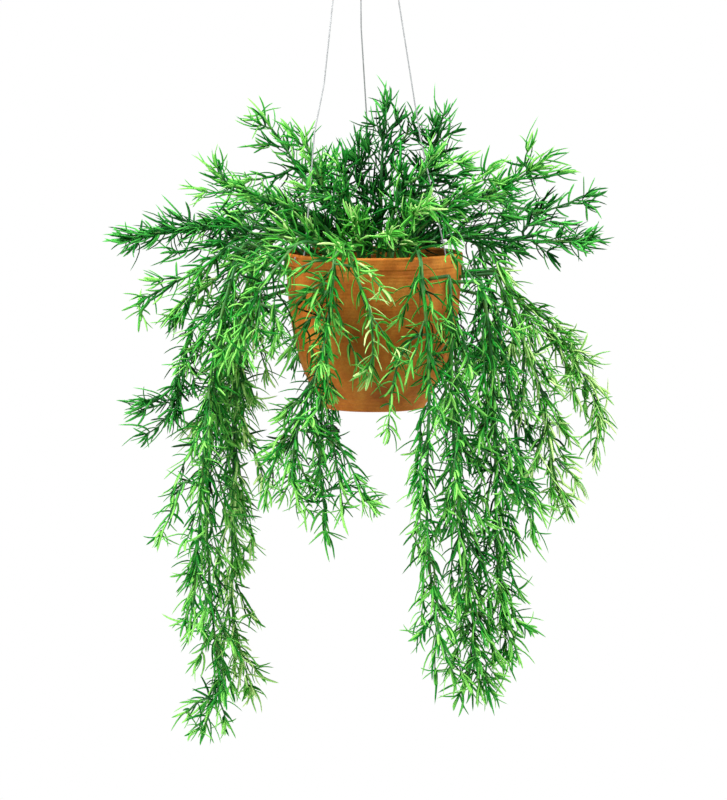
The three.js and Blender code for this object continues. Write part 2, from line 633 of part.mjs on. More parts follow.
const twigs = growTwigs();
const stems = twigs.slice(0, STEMS.length);
add(hung, "pot", potGeometry(), TERRACOTTA, 0.7);
add(hung, "soil", soilGeometry(stems), EARTH, 1);
for (const [name, , color] of STEMS) {
  const solids = twigs.filter((twig) => twig.name === name).map(twigGeometry);
  add(hung, name, joined(solids), color, 0.6);
}

export default group;
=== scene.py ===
# %% [markdown]
# # A hanging asparagus fern
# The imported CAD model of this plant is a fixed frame: a wire hook, three wires, a clay pot, its soil
# and 44 leafy stems. This lesson dresses that frame. Each coarse solid gets a finer piece in its own
# place, and each piece gets a finish that is worked out by nodes. All pictures of it come from here.

# %% Load the fixed frame
import itertools
import math

import bpy
import numpy as np
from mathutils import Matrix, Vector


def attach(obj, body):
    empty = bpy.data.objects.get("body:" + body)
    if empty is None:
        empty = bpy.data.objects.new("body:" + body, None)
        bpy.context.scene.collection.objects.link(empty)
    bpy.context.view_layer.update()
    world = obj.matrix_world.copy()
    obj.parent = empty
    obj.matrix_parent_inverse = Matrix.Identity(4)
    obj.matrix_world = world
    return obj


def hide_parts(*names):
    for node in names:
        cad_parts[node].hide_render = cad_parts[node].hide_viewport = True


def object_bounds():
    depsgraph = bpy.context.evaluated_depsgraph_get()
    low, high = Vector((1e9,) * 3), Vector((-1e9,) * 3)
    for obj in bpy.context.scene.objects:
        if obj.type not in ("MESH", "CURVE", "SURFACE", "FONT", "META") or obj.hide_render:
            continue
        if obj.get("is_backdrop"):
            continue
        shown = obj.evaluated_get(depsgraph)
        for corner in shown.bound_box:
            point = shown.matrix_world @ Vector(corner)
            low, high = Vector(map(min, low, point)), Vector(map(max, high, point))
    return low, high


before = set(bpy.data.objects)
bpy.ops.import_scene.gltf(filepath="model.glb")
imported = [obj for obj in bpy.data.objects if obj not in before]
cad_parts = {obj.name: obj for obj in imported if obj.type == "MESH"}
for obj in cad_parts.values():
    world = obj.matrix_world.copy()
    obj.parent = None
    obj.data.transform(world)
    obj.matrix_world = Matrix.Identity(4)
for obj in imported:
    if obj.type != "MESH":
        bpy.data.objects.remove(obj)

cad_low, cad_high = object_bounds()
print("CAD box, in metres:", [round(x, 4) for x in (*cad_low, *cad_high)])

# %% [markdown]
# ## Sizes
# The real pot is a six-inch hanging pot, 152 mm across its rim, and everything else is measured from
# it. The plant is easiest to think of in millimetres from the middle of the rim, while Blender works
# in metres from the inside of the hook. One function turns the first into the second, so each length
# below can be checked with a ruler.

# %% Sizes of the hanger and the pot, in millimetres
HANG_DROP = 448  # from the inside of the hook's crown down to the top of the rim
POT_SHIFT = 13  # the pot's axis hangs this far to the right of its hook
RIM_RADIUS = 76
MOUTH_RADIUS = 71.3
POT_BASE = -133.5
POT_FLOOR = -127.5
SOIL_TOP = -12
DRAIN_RADIUS = 6
WALL_HOLE_RADIUS = 1.6
WALL_HOLE_DEPTH = 6.5
WIRE_RADIUS = 0.6
HOOK_RADIUS = 1.25
CROOK_RADIUS = 9
EYE_RADIUS = 5
EYE_DROP = 42  # from the inside of the hook's crown down to the middle of its eye
# Each wire: its name, the angle of its hole in degrees, how far its loop is from the middle of
# the eye, its kinks and how far below its loop its end is wound round it.
WIRES = [
    ("wire_left", 211, -2.3, [(-42.5, -14, 144), (-50.5, -26, 104)], 2.2),
    ("wire_back", 91, 0.0, [(-11, 32, 190), (-6.4, 49, 115)], 7.5),
    ("wire_right", 331, 2.3, [(20.6, -15, 216), (39, -25, 100)], 2.2),
]


def metres(points):
    """Points in mm from the middle of the rim, as metres from the hook: the pot's place is added."""
    return (np.asarray(points, float) + (POT_SHIFT, 0, -HANG_DROP)) / 1000


def all_round(count):
    """Angles that share a full turn evenly."""
    return np.arange(count) * 2 * math.pi / count


def polar(radius, degrees, height):
    """A point at a radius and an angle round the pot's axis."""
    turn = math.radians(degrees)
    return (radius * math.cos(turn), radius * math.sin(turn), height)


print("rim at", metres((0, 0, 0)), "base at", metres((0, 0, POT_BASE)))

# %% [markdown]
# ## Camera, floor and light
# The photograph was taken from a little above, with a long lens, so upright lines stay upright and
# near needles look no bigger than far ones. The camera stands 4 m away and frames 687 mm of height.
# Thin needles show by their dark undersides against white, and even light from all round would bleach
# them. So the room is white to look at but lights the plant only softly, and most of the light comes
# from three big soft lamps: one at each side, a little above the plant, and one overhead. The floor is
# white paper that runs into the white of the room at its rim.

# %% Camera
VIEW_CENTRE = np.array((0.004, 0, -0.5755))
VIEW_HEIGHT = 0.687
VIEW_DISTANCE = 4.0
VIEW_ELEVATION = math.radians(6)


def linked(name, data):
    """A new object of the scene, made from a camera's, a lamp's or a mesh's data."""
    made = bpy.data.objects.new(name, data)
    bpy.context.scene.collection.objects.link(made)
    return made


lens = bpy.data.cameras.new("studio_camera")
lens.sensor_width = 36
lens.lens = lens.sensor_width * VIEW_DISTANCE / VIEW_HEIGHT
lens.clip_end = 50
camera = linked("studio_camera", lens)
back = np.array((0, -math.cos(VIEW_ELEVATION), math.sin(VIEW_ELEVATION)))
camera.location = VIEW_CENTRE + back * VIEW_DISTANCE
camera.rotation_euler = (math.pi / 2 - VIEW_ELEVATION, 0, 0)
bpy.context.scene.camera = camera
print("lens", round(lens.lens), "mm")

# %% Helpers for colours and finishes
def linear(colour):
    """An sRGB hex colour as linear light: each part over 255, then its gamma curve undone."""
    parts = np.array([int(colour[i : i + 2], 16) for i in (1, 3, 5)]) / 255
    light = np.where(parts <= 0.04045, parts / 12.92, ((parts + 0.055) / 1.055) ** 2.4)
    return (*light.tolist(), 1.0)


def node(tree, kind, inputs=(), **settings):
    """Adds one shader node, with its settings, and with a value or a link for each named input."""
    made = tree.nodes.new("ShaderNode" + kind)
    for name, value in settings.items():
        setattr(made, name, value)
    for socket, value in dict(inputs).items():
        if isinstance(value, bpy.types.NodeSocket):
            tree.links.new(value, made.inputs[socket])
        else:
            made.inputs[socket].default_value = value
    return made


def ramp(tree, factor, stops):
    """A colour ramp from (place, hex colour) pairs, driven by factor."""
    made = node(tree, "ValToRGB", {"Fac": factor})
    elements = made.color_ramp.elements
    for _ in stops[2:]:
        elements.new(0.5)
    for element, (place_on_ramp, colour) in zip(elements, stops):
        element.position = place_on_ramp
        element.color = linear(colour)
    return made.outputs["Color"]


def finish_named(name, roughness, **sockets):
    """A new material with one Principled shader, and its tree and shader to build on."""
    material = bpy.data.materials.new(name)
    material.use_nodes = True
    tree = material.node_tree
    tree.nodes.clear()
    shader = node(tree, "BsdfPrincipled", {"Roughness": roughness, **sockets})
    output = node(tree, "OutputMaterial", {"Surface": shader.outputs["BSDF"]})
    return material, tree, shader, output


def mottled(name, roughness, scale, detail, stops, **sockets):
    """A finish with a ramp of colours over noise, so many patches to the metre. Its tree, its shader and
    the noise come with it."""
    material, tree, shader, _ = finish_named(name, roughness, **sockets)
    space = node(tree, "TexCoord").outputs["Object"]
    noise = node(tree, "TexNoise", {"Vector": space, "Scale": scale, "Detail": detail}).outputs["Fac"]
    tree.links.new(ramp(tree, noise, stops), shader.inputs["Base Color"])
    return material, tree, shader, noise


def bumpy(tree, shader, height, strength, distance):
    """Adds relief to a finish, from a height between 0 and 1 and its depth in metres."""
    bump = node(tree, "Bump", {"Height": height, "Strength": strength, "Distance": distance})
    tree.links.new(bump.outputs["Normal"], shader.inputs["Normal"])


print("clay orange in linear light:", [round(x, 3) for x in linear("#b8681b")])

# %% Studio: floor, room and lamps
FLOOR_DROP = 1.25  # metres below the hook, so that the plant hangs free above it
FLOOR_RADIUS = 1.6  # metres, so that the rim stays just below the photograph's frame
FLOOR_CORNERS = 96
FLOOR_FADE = (0.5, 1.5)  # from paper to the white of the room, in metres from the middle
ROOM_LIGHT = 0.34  # of the white room on the plant, where 1 is its own white
LAMP_SIZE = 0.8
LAMPS = {"left_lamp": ((-1.7, -0.9, 0.5), 53), "right_lamp": ((1.8, -0.7, 0.3), 38),
         "top_lamp": ((-0.2, -0.4, 1.5), 48)}  # each one's place in metres and its power in watts

rim_turn = all_round(FLOOR_CORNERS)
rim = np.stack([np.cos(rim_turn) * FLOOR_RADIUS, np.sin(rim_turn) * FLOOR_RADIUS,
                np.full(FLOOR_CORNERS, -FLOOR_DROP)], 1)
floor_mesh = bpy.data.meshes.new("studio_floor")
floor_mesh.from_pydata(rim.tolist(), [], [list(range(FLOOR_CORNERS))])
floor = linked("studio_floor", floor_mesh)
floor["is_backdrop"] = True
paper, paper_tree, paper_shader, paper_output = finish_named("studio_paper", 0.9)
paper_shader.inputs["Base Color"].default_value = linear("#f4f4f2")
paper_place = node(paper_tree, "TexCoord").outputs["Object"]
from_middle = node(paper_tree, "VectorMath", {0: paper_place, 1: (0, 0, FLOOR_DROP)}, operation="ADD")
distance = node(paper_tree, "VectorMath", {0: from_middle.outputs["Vector"]}, operation="LENGTH")
fade = node(paper_tree, "MapRange", {"Value": distance.outputs["Value"], "From Min": FLOOR_FADE[0],
                                     "From Max": FLOOR_FADE[1]}, interpolation_type="SMOOTHSTEP")
glow = node(paper_tree, "Emission", {"Color": (1, 1, 1, 1), "Strength": 1.0})
paper_mix = node(paper_tree, "MixShader", {0: fade.outputs["Result"], 1: paper_shader.outputs["BSDF"],
                                           2: glow.outputs["Emission"]})
paper_tree.links.new(paper_mix.outputs["Shader"], paper_output.inputs["Surface"])
floor_mesh.materials.append(paper)

room = bpy.data.worlds.new("white_room")
room.use_nodes = True
room_tree = room.node_tree
room_tree.nodes.clear()
seen = node(room_tree, "Background", {"Color": (1, 1, 1, 1), "Strength": 1.0})
felt = node(room_tree, "Background", {"Color": (1, 1, 1, 1), "Strength": ROOM_LIGHT})
ray = node(room_tree, "LightPath").outputs["Is Camera Ray"]
room_mix = node(room_tree, "MixShader", {0: ray, 1: felt.outputs[0], 2: seen.outputs[0]})
node(room_tree, "OutputWorld", {"Surface": room_mix.outputs["Shader"]})
bpy.context.scene.world = room
bpy.context.scene.view_settings.view_transform = "Standard"

# Each lamp is a soft square one, turned to face the middle of the plant.
for name, (lamp_place, power) in LAMPS.items():
    light = bpy.data.lights.new(name, "AREA")
    light.size = LAMP_SIZE
    light.energy = power
    lamp = linked(name, light)
    lamp.location = lamp_place
    aim = VIEW_CENTRE - np.array(lamp_place)
    lamp.rotation_euler = (math.atan2(math.hypot(aim[0], aim[1]), -aim[2]), 0,
                           math.atan2(aim[1], aim[0]) - math.pi / 2)
print(len(LAMPS), "lamps and a white room")

# %% [markdown]
# ## Making a mesh from arrays
# A real pot or wire is round because it was turned or drawn. In a mesh the same shape is a grid: one
# way round the axis, the other way along it. Whole arrays of points are worked out at once, then given
# to Blender as one mesh. Two helpers make most of what isn't a needle: a ring of points turned about an
# axis, and a tube carried along a line.

# %% Helpers for meshes
def unit(vectors):
    """Vectors scaled to a length of one: each is divided by its own length."""
    vectors = np.asarray(vectors, float)
    return vectors / np.linalg.norm(vectors, axis=-1, keepdims=True)


def grid_faces(rows, columns, closed_rows=False):
    """Quads of a grid whose columns run round and join: a, b in one row, then b, a in the next."""
    steps = np.arange(rows if closed_rows else rows - 1)
    row, column = np.meshgrid(steps, np.arange(columns), indexing="ij")
    across = (column + 1) % columns
    above = (row + 1) % rows
    quads = np.stack([row * columns + column, row * columns + across,
                      above * columns + across, above * columns + column], -1)
    return quads.reshape(-1, 4)


def cone_faces(rows, columns):
    """Triangles from the last of the grid's rows to the one point that follows the grid."""
    last = (rows - 1) * columns
    k = np.arange(columns)
    return np.stack([last + k, last + (k + 1) % columns, np.full(columns, last + columns)], -1)


class Shape:
    """A mesh in the making: points in metres, faces, and a few numbers for each point."""

    def __init__(self):
        self.points, self.faces, self.slots, self.marks, self.count = [], [], [], [], 0

    def add(self, points, faces, slot=0, marks=None):
        """Adds points, the faces among them, their material and their numbers, one row a point."""
        points = np.asarray(points, float).reshape(-1, 3)
        for group in faces:
            self.faces += (np.asarray(group) + self.count).tolist()
            self.slots += [slot] * len(group)
        marks = np.zeros((len(points), 3)) if marks is None else np.broadcast_to(marks, (len(points), 3))
        self.marks.append(marks)
        self.points.append(points)
        self.count += len(points)

    def piece(self, name, materials):
        """The finished object, at the origin and unturned, riding on the plant's one body."""
        mesh = bpy.data.meshes.new(name)
        mesh.from_pydata(np.vstack(self.points).tolist(), [], self.faces)
        mesh.polygons.foreach_set("material_index", self.slots)
        mesh.polygons.foreach_set("use_smooth", [True] * len(self.faces))
        marks = np.vstack(self.marks)
        for column, label in enumerate(("shade", "along", "youth")):
            attribute = mesh.attributes.new(label, "FLOAT", "POINT")
            attribute.data.foreach_set("value", marks[:, column].astype(np.float32))
        for material in materials:
            mesh.materials.append(material)
        mesh.update()
        made = linked(name, mesh)
        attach(made, "root")
        return made


def turned(profile, segments):
    """A closed profile of (radius, height) turned about Z: x = r cos a, y = r sin a, z = height."""
    profile = np.asarray(profile, float)
    angle = all_round(segments)
    radius, height = profile[:, :1], profile[:, 1:]
    return np.stack([radius * np.cos(angle), radius * np.sin(angle),
                     np.broadcast_to(height, (len(profile), segments))], -1)


def carried(line, always_from_x=False):
    """Directions for a ring at each point of a line: forward, and two across it. The first one across
    starts from X, or from Y where the line itself sets out along X, unless it's always to be X. It is
    carried from ring to ring, each time without its part along the line, so the tube isn't twisted."""
    line = np.asarray(line, float)
    forward = unit(np.vstack([line[1] - line[0], line[2:] - line[:-2], line[-1] - line[-2]]))
    start = np.array((1.0, 0, 0) if always_from_x or abs(forward[0][0]) < 0.9 else (0, 1.0, 0))
    across = [unit(start - forward[0] * (start @ forward[0]))]
    for ahead in forward[1:]:
        across.append(unit(across[-1] - ahead * (across[-1] @ ahead)))
    across = np.array(across)
    return forward, across, np.cross(forward, across)


def tube(shape, line, radius, sides, slot=0, pointed=False):
    """A tube along a line: each ring is centre + r (cos a across + sin a upward). Its ends are flat, or
    the far one is pointed."""
    line = np.asarray(line, float)
    radius = np.broadcast_to(np.asarray(radius, float), (len(line),))
    forward, across, upward = carried(line)
    angle = all_round(sides)
    circle = np.cos(angle)[:, None, None] * across + np.sin(angle)[:, None, None] * upward
    rings = (line + radius[:, None] * circle).transpose(1, 0, 2).reshape(-1, 3)
    faces = [grid_faces(len(line), sides), [list(range(sides))[::-1]]]
    if pointed:
        rings = np.vstack([rings, line[-1] + forward[-1] * radius[-1] * 1.2])
        faces.append(cone_faces(len(line), sides))
    else:
        faces.append([list(range(len(rings) - sides, len(rings)))])
    shape.add(rings, faces, slot)


def smooth_through(points, steps, slopes=None):
    """A smooth line through points: Catmull-Rom, where each slope is half of next minus last, unless
    the slopes are given."""
    points = np.asarray(points, float)
    slopes = np.gradient(points, axis=0) if slopes is None else slopes
    u = np.arange(steps) / steps
    basis = np.stack([2 * u**3 - 3 * u**2 + 1, u**3 - 2 * u**2 + u, 3 * u**2 - 2 * u**3, u**3 - u**2])
    spans = np.stack([points[:-1], slopes[:-1], points[1:], slopes[1:]])
    return np.vstack([np.einsum("ku,ksc->suc", basis, spans).reshape(-1, points.shape[1]), points[-1]])


print("helpers ready")

# %% [markdown]
# ## The clay pot
# The real pot is unglazed earthenware, pressed and turned on a wheel: a soft orange-brown body with
# faint rings left by the tool, a low collar round the mouth and a drain hole. It could be a lathe
# modifier on a drawn outline. Here the outline itself is an array, so the tool's rings can be added to
# it by a formula, and the wall keeps its real thickness. Three small holes under the collar are
# drilled for the wires.

# %% Clay finish
clay, clay_tree, clay_shader, _ = finish_named("unglazed_terracotta_turned", 0.7,
                                               **{"IOR": 1.45, "Specular IOR Level": 0.3})
# Fired clay varies in tone over patches some 20 mm wide, and its grit is near 1.5 mm.
clay_space = node(clay_tree, "TexCoord").outputs["Object"]
patches = node(clay_tree, "TexNoise",
               {"Vector": clay_space, "Scale": 45.0, "Detail": 4.0, "Roughness": 0.55})
clay_tone = ramp(clay_tree, patches.outputs["Fac"],
                 [(0.3, "#984d0b"), (0.5, "#b8681b"), (0.7, "#cd8530")])
grit = node(clay_tree, "TexNoise", {"Vector": clay_space, "Scale": 700.0, "Detail": 2.0})
speckle = node(clay_tree, "MapRange", {"Value": grit.outputs["Fac"], "From Min": 0.35, "From Max": 0.7,
                                       "To Min": 0.9, "To Max": 1.08})
clay_colour = node(clay_tree, "Mix", {0: 1.0, 6: clay_tone, 7: speckle.outputs["Result"]},
                   data_type="RGBA", blend_type="MULTIPLY")
clay_tree.links.new(clay_colour.outputs[2], clay_shader.inputs["Base Color"])
rings_of_tool = node(clay_tree, "TexWave",
                     {"Vector": clay_space, "Scale": 110.0, "Distortion": 1.5, "Detail": 2.0,
                      "Detail Scale": 0.6}, wave_type="BANDS", bands_direction="Z")
relief = node(clay_tree, "Math", {0: rings_of_tool.outputs["Fac"], 1: grit.outputs["Fac"]},
              operation="ADD")
bumpy(clay_tree, clay_shader, relief.outputs["Value"], 0.25, 0.0004)
print(clay.name)

# %% Pot
POT_SEGMENTS = 120
TOOL_STEP = 3.4  # mm between the rings that the tool leaves
TOOL_DEPTH = 0.13  # mm

outside = smooth_through([(43.6, -132.7), (45.2, -129.8), (50, -121.5), (57.7, -108), (63, -94.5),
                          (68, -75), (71.6, -56), (73.6, -36), (74.7, -20), (75, -11.6)], 12)
ripple = 0.6 * np.sin(outside[:, 1] * 2 * math.pi / TOOL_STEP) + 0.4 * np.sin(outside[:, 1] * 1.07)
outside[:, 0] += TOOL_DEPTH * ripple
collar = smooth_through([(74.9, -11.2), (75.7, -10.4), (76, -9.4), (75.9, -5), (76, -1.8), (75.4, -0.6),
                         (74.2, -0.05), (72.9, -0.1), (71.8, -0.7), (71.35, -2)], 5)
inside = smooth_through([(71.3, -8), (71.2, -14), (70, -36), (68.4, -52), (64.6, -74), (59, -93.5),
                         (52.4, -108), (45, -119), (40, -125.5), (36, POT_FLOOR)], 5)
underside = np.array([(20, POT_FLOOR), (DRAIN_RADIUS + 0.6, POT_FLOOR), (DRAIN_RADIUS, POT_FLOOR - 0.6),
                      (DRAIN_RADIUS, POT_BASE + 0.5), (DRAIN_RADIUS + 0.5, POT_BASE),
                      (20, POT_BASE), (36, POT_BASE), (42.4, POT_BASE), (43.2, POT_BASE + 0.3)])
pot_outline = np.vstack([outside, collar, inside, underside])

pot_rings = turned(pot_outline, POT_SEGMENTS)
angle = all_round(POT_SEGMENTS)
# A pot from the wheel is never quite round: it sways by 0.1 mm or so.
sway = 1 + 0.0016 * np.sin(2 * angle + 0.7) + 0.0009 * np.sin(3 * angle)
pot_rings[..., :2] *= sway[None, :, None]
pot_shape = Shape()
pot_shape.add(metres(pot_rings), [grid_faces(len(pot_outline), POT_SEGMENTS, closed_rows=True)])
pot = pot_shape.piece("clay_pot", [clay])

drills = Shape()
for _, degrees, *_ in WIRES:
    path = [polar(RIM_RADIUS + r, degrees, -WALL_HOLE_DEPTH) for r in (-9, 5)]
    tube(drills, metres(path), WALL_HOLE_RADIUS / 1000, 20)
drill = drills.piece("wire_drill", [clay])
cut = pot.modifiers.new("wire_holes", "BOOLEAN")
cut.object = drill
cut.solver = "EXACT"
drilled = bpy.data.meshes.new_from_object(pot.evaluated_get(bpy.context.evaluated_depsgraph_get()))
pot.modifiers.clear()
pot.data = drilled
bpy.data.objects.remove(drill)
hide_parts("pot")
print("pot:", len(pot.data.polygons), "faces with its three wire holes")

# %% [markdown]
# ## The soil
# Potting soil is dark crumbs of peat with chips of bark. A flat disc would look like a lid, so its top
# is raised and lowered by a sum of small waves, and 700 crumbs and chips lie partly sunk in it. Each is a
# twenty-sided lump with its corners pushed about, which is plenty at 1 to 7 mm.

# %% Soil finishes
# Peat crumbs are near 2 mm, and the fibres of bark near 1 mm.
peat, *peat_parts = mottled("peat_potting_soil", 0.95, 420.0, 5.0,
                            [(0.3, "#1a110b"), (0.55, "#33241a"), (0.8, "#54402e")])
bark, *bark_parts = mottled("pine_bark_chip", 0.85, 800.0, 5.0,
                            [(0.3, "#3b2415"), (0.6, "#64432a"), (0.8, "#85613f")])
bumpy(*peat_parts, 0.8, 0.0008)
bumpy(*bark_parts, 0.8, 0.0008)
print(peat.name, bark.name)

# %% Soil
SOIL_SEGMENTS = 120
TOP_RINGS = 46
DOME_DROP = 2.2  # mm that the soil's top sinks from its middle to the radius that follows
DOME_RADIUS = 66
WAVES = 26  # that make the surface uneven
WAVE_DEPTH = 0.012  # of a wave's length
CRUMBS = 500
CHIPS = 200
CRUMB_REACH = 67.5  # mm from the pot's axis
LUMP_EDGE = 1.1  # a little more than the edge of a twenty-sided lump with a radius of one
LUMP_PUSH = (0.75, 1.15)  # how far its corners are pushed in or out, as shares of that radius
LUMP_RISE = 0.3  # how far a lump's middle is above the soil, as a share of half its least width

rng = np.random.default_rng(11)
lengths = rng.uniform(4, 16, WAVES)  # mm
headings = rng.uniform(0, 2 * math.pi, WAVES)
phases = rng.uniform(0, 2 * math.pi, WAVES)


def soil_height(x, y):
    """Height of the soil's top: a slight dome, plus sine waves of different lengths and headings."""
    x, y = np.asarray(x, float)[..., None], np.asarray(y, float)[..., None]
    across = (x * np.cos(headings) + y * np.sin(headings)) * 2 * math.pi / lengths
    waves = (np.sin(across + phases) * lengths * WAVE_DEPTH).sum(-1)
    return SOIL_TOP - DOME_DROP * (x[..., 0] ** 2 + y[..., 0] ** 2) / DOME_RADIUS**2 + waves


top_radii = np.linspace(70.6, 2, TOP_RINGS)
wall = [(36.5, POT_FLOOR + 0.4), (43.4, -120.8), (58.4, -94), (67.8, -52), (70.7, -18)]
soil_outline = np.vstack([wall, np.stack([top_radii, np.full(TOP_RINGS, SOIL_TOP)], 1)])
soil_rings = turned(soil_outline, SOIL_SEGMENTS)
on_top = soil_rings[len(wall):]
on_top[..., 2] = soil_height(on_top[..., 0], on_top[..., 1])
soil = Shape()
rows = len(soil_outline)
soil_points = np.vstack([soil_rings.reshape(-1, 3), (0, 0, soil_height(0, 0))])
soil.add(metres(soil_points), [grid_faces(rows, SOIL_SEGMENTS), cone_faces(rows, SOIL_SEGMENTS),
                               [list(range(SOIL_SEGMENTS))[::-1]]])

golden = (1 + 5**0.5) / 2
signs = [(s, t) for s in (-1, 1) for t in (-1, 1)]
lump = unit([(s, t * golden, 0) for s, t in signs] + [(0, s, t * golden) for s, t in signs]
            + [(t * golden, 0, s) for s, t in signs])
apart = np.linalg.norm(lump[:, None] - lump[None], axis=-1)
lump_faces = np.array([(i, j, m) if np.linalg.det(lump[[i, j, m]]) > 0 else (i, m, j)
                       for i, j, m in itertools.combinations(range(len(lump)), 3)
                       if max(apart[i, j], apart[j, m], apart[i, m]) < LUMP_EDGE])


def scatter(count, slot, low, high, flat):
    """Lumps on the soil, low to high mm wide: each is pushed about, stretched, turned by a random
    quaternion, v + 2 q x (q x v + w v), and partly sunk."""
    size = rng.uniform(low, high, (count, 1, 1)) * rng.uniform(flat, 1, (count, 1, 3)) / 2
    body = lump[None] * rng.uniform(*LUMP_PUSH, (count, len(lump), 1)) * size
    quaternion = unit(rng.normal(size=(count, 1, 4)))
    w, xyz = quaternion[..., :1], quaternion[..., 1:]
    body = body + 2 * np.cross(xyz, np.cross(xyz, body) + w * body)
    reach = CRUMB_REACH * np.sqrt(rng.uniform(0, 1, count))
    around = rng.uniform(0, 2 * math.pi, count)
    x, y = reach * np.cos(around), reach * np.sin(around)
    centre = np.stack([x, y, soil_height(x, y) + size.min((1, 2)) * LUMP_RISE], -1)
    faces = (lump_faces + len(lump) * np.arange(count)[:, None, None]).reshape(-1, 3)
    soil.add(metres(body + centre[:, None]), [faces], slot)


scatter(CRUMBS, 0, 1.2, 3.4, 0.6)
scatter(CHIPS, 1, 2.5, 7.0, 0.3)
soil_piece = soil.piece("potting_soil", [peat, bark])
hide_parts("soil")
print("soil:", len(soil_piece.data.polygons), "faces")

# %% [markdown]
# ## The hook and its wires
# The hanger is galvanised steel wire, dull and pale. Its hook is one thick bent wire with a closed
# eye. Each thin wire is looped through that eye and wound round itself, runs down in nearly straight
# lengths with the slight kinks of handling, and is hooked through the pot's wall. A curve object with a
# bevel could make them. Tubes carried along arrays of points do the same, and let straight lengths stay
# two rings long.

# %% Wire finish
# The zinc coat is dull, so it mirrors no lamp, and it has brighter and darker spots about 4 mm apart.
steel, steel_tree, steel_shader, spots = mottled(
    "galvanised_steel_wire", 0.7, 240.0, 3.0, [(0.3, "#9fa1a2"), (0.7, "#b4b6b7")], Metallic=1.0)
dullness = node(steel_tree, "MapRange", {"Value": spots, "To Min": 0.65, "To Max": 0.75})
steel_tree.links.new(dullness.outputs["Result"], steel_shader.inputs["Roughness"])
print(steel.name)

# %% Hook and wires
RING_SEGMENTS = 36
RING_SIDES = 12
LOOP_RADIUS = 2.7  # mm, of the loop that hangs in the hook's eye
LOOP_DROP = EYE_DROP + EYE_RADIUS + HOOK_RADIUS + 0.1  # down to the middle of that loop
# The coarse pot's mouth has 28 sides, and the wire lies just inside the middle of one.
WIRE_INSET = MOUTH_RADIUS * math.cos(math.pi / 28) - 0.3 - WIRE_RADIUS
WRAP_WIRE = 0.42  # mm, the thinner look of the wire's end where it is wound tight
WRAP_TURNS = 4
WRAP_PITCH = 2.1  # from one turn to the next, in radii of that end
# The wire's corners in mm, outwards and upwards: from the wall's inner face, and from its hole.
DOWN_TO_HOLE = ((-2, 6), (-0.3, -2), (0.1, 1.1 - WALL_HOLE_DEPTH), (1.4, -WALL_HOLE_DEPTH))
THROUGH_HOLE = ((0, 0), (1.6, 0.6), (2.1, 2.6), (2.1, 5))


def rounded(points, reach, steps=5):
    """Straight lengths joined by short bends: round each corner the line runs through
    (1-u)^2 before + 2u(1-u) corner + u^2 after, where before and after are reach mm from it."""
    points = np.asarray(points, float)
    spans = points[1:] - points[:-1]
    size = np.linalg.norm(spans, axis=1)
    near_corner = np.minimum(reach, 0.48 * np.minimum(size[:-1], size[1:]))[:, None]
    corner = points[1:-1]
    before = corner - near_corner * unit(spans[:-1])
    after = corner + near_corner * unit(spans[1:])
    u = np.linspace(0, 1, steps)[:, None, None]
    bends = (1 - u) ** 2 * before + 2 * u * (1 - u) * corner + u**2 * after
    return np.vstack([points[:1], bends.transpose(1, 0, 2).reshape(-1, 3), points[-1:]])


def ring_of_wire(shape, centre, radius, wire, normal_axis):
    """A closed ring of wire: a circle of circles, in the plane across one axis."""
    big, small = all_round(RING_SEGMENTS), all_round(RING_SIDES)
    out = radius + wire * np.cos(small)[None, :]
    flat = [out * np.cos(big)[:, None], out * np.sin(big)[:, None]]
    high = np.broadcast_to(wire * np.sin(small), flat[0].shape)
    order = {"x": (high, flat[0], flat[1]), "y": (flat[1], high, flat[0])}[normal_axis]
    faces = grid_faces(RING_SEGMENTS, RING_SIDES, closed_rows=True)
    shape.add((np.stack(order, -1) + centre) / 1000, [faces[:, ::-1]])


hook = Shape()
bend = CROOK_RADIUS + HOOK_RADIUS
crook = [(bend * math.cos(a), 0, bend * math.sin(a) - CROOK_RADIUS)
         for a in np.radians(np.arange(-30, 181, 30))]
neck = [(-8.4, 0, -19), (-3, 0, -27), (0, 0, EYE_RADIUS - EYE_DROP + 0.5)]
tube(hook, smooth_through(crook + neck, 8) / 1000, HOOK_RADIUS / 1000, 16)
ring_of_wire(hook, (0, 0, -EYE_DROP), EYE_RADIUS + HOOK_RADIUS, HOOK_RADIUS, "y")
hook_piece = hook.piece("wire_hook", [steel])
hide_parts("hook")

for name, degrees, across, kinks, wrap_at in WIRES:
    top = np.array((across - POT_SHIFT, 0, HANG_DROP - LOOP_DROP - LOOP_RADIUS))
    path = [top, *kinks]
    path += [polar(WIRE_INSET + r, degrees, z) for r, z in DOWN_TO_HOLE]
    path += [polar(RIM_RADIUS + r, degrees, z - WALL_HOLE_DEPTH) for r, z in THROUGH_HOLE]
    wire = Shape()
    tube(wire, metres(rounded(path, 3)), WIRE_RADIUS / 1000, 10)
    ring_of_wire(wire, np.array((across, 0, -LOOP_DROP)), LOOP_RADIUS, WIRE_RADIUS, "x")
    downward = unit(np.array(kinks[0]) - top)
    side = unit(np.cross(downward, (0, 1, 0)))
    other = np.cross(downward, side)
    s = np.linspace(0, 1, 16 * WRAP_TURNS)
    turn = 2 * math.pi * WRAP_TURNS * s[:, None]
    coil = top + downward * (wrap_at + s[:, None] * WRAP_TURNS * WRAP_PITCH * WRAP_WIRE)
    coil = coil + (WIRE_RADIUS + 0.9 * WRAP_WIRE) * (np.cos(turn) * side + np.sin(turn) * other)
    tube(wire, metres(coil), WRAP_WIRE / 1000, 7)
    made = wire.piece("steel_" + name, [steel])
    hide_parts(name)
print("hook and", len(WIRES), "wires")

# %% [markdown]
# ## Where the stems run
# An asparagus fern sends up wiry stems that arch over and trail. On the CAD model each stem's route is
# a short list of points, from the soil to its tip, and the same lists are used here, so every fine
# stem lies in its coarse one. The photograph's plant is moulded in soft plastic, as its even needles
# and seams show, so all stems taper evenly.

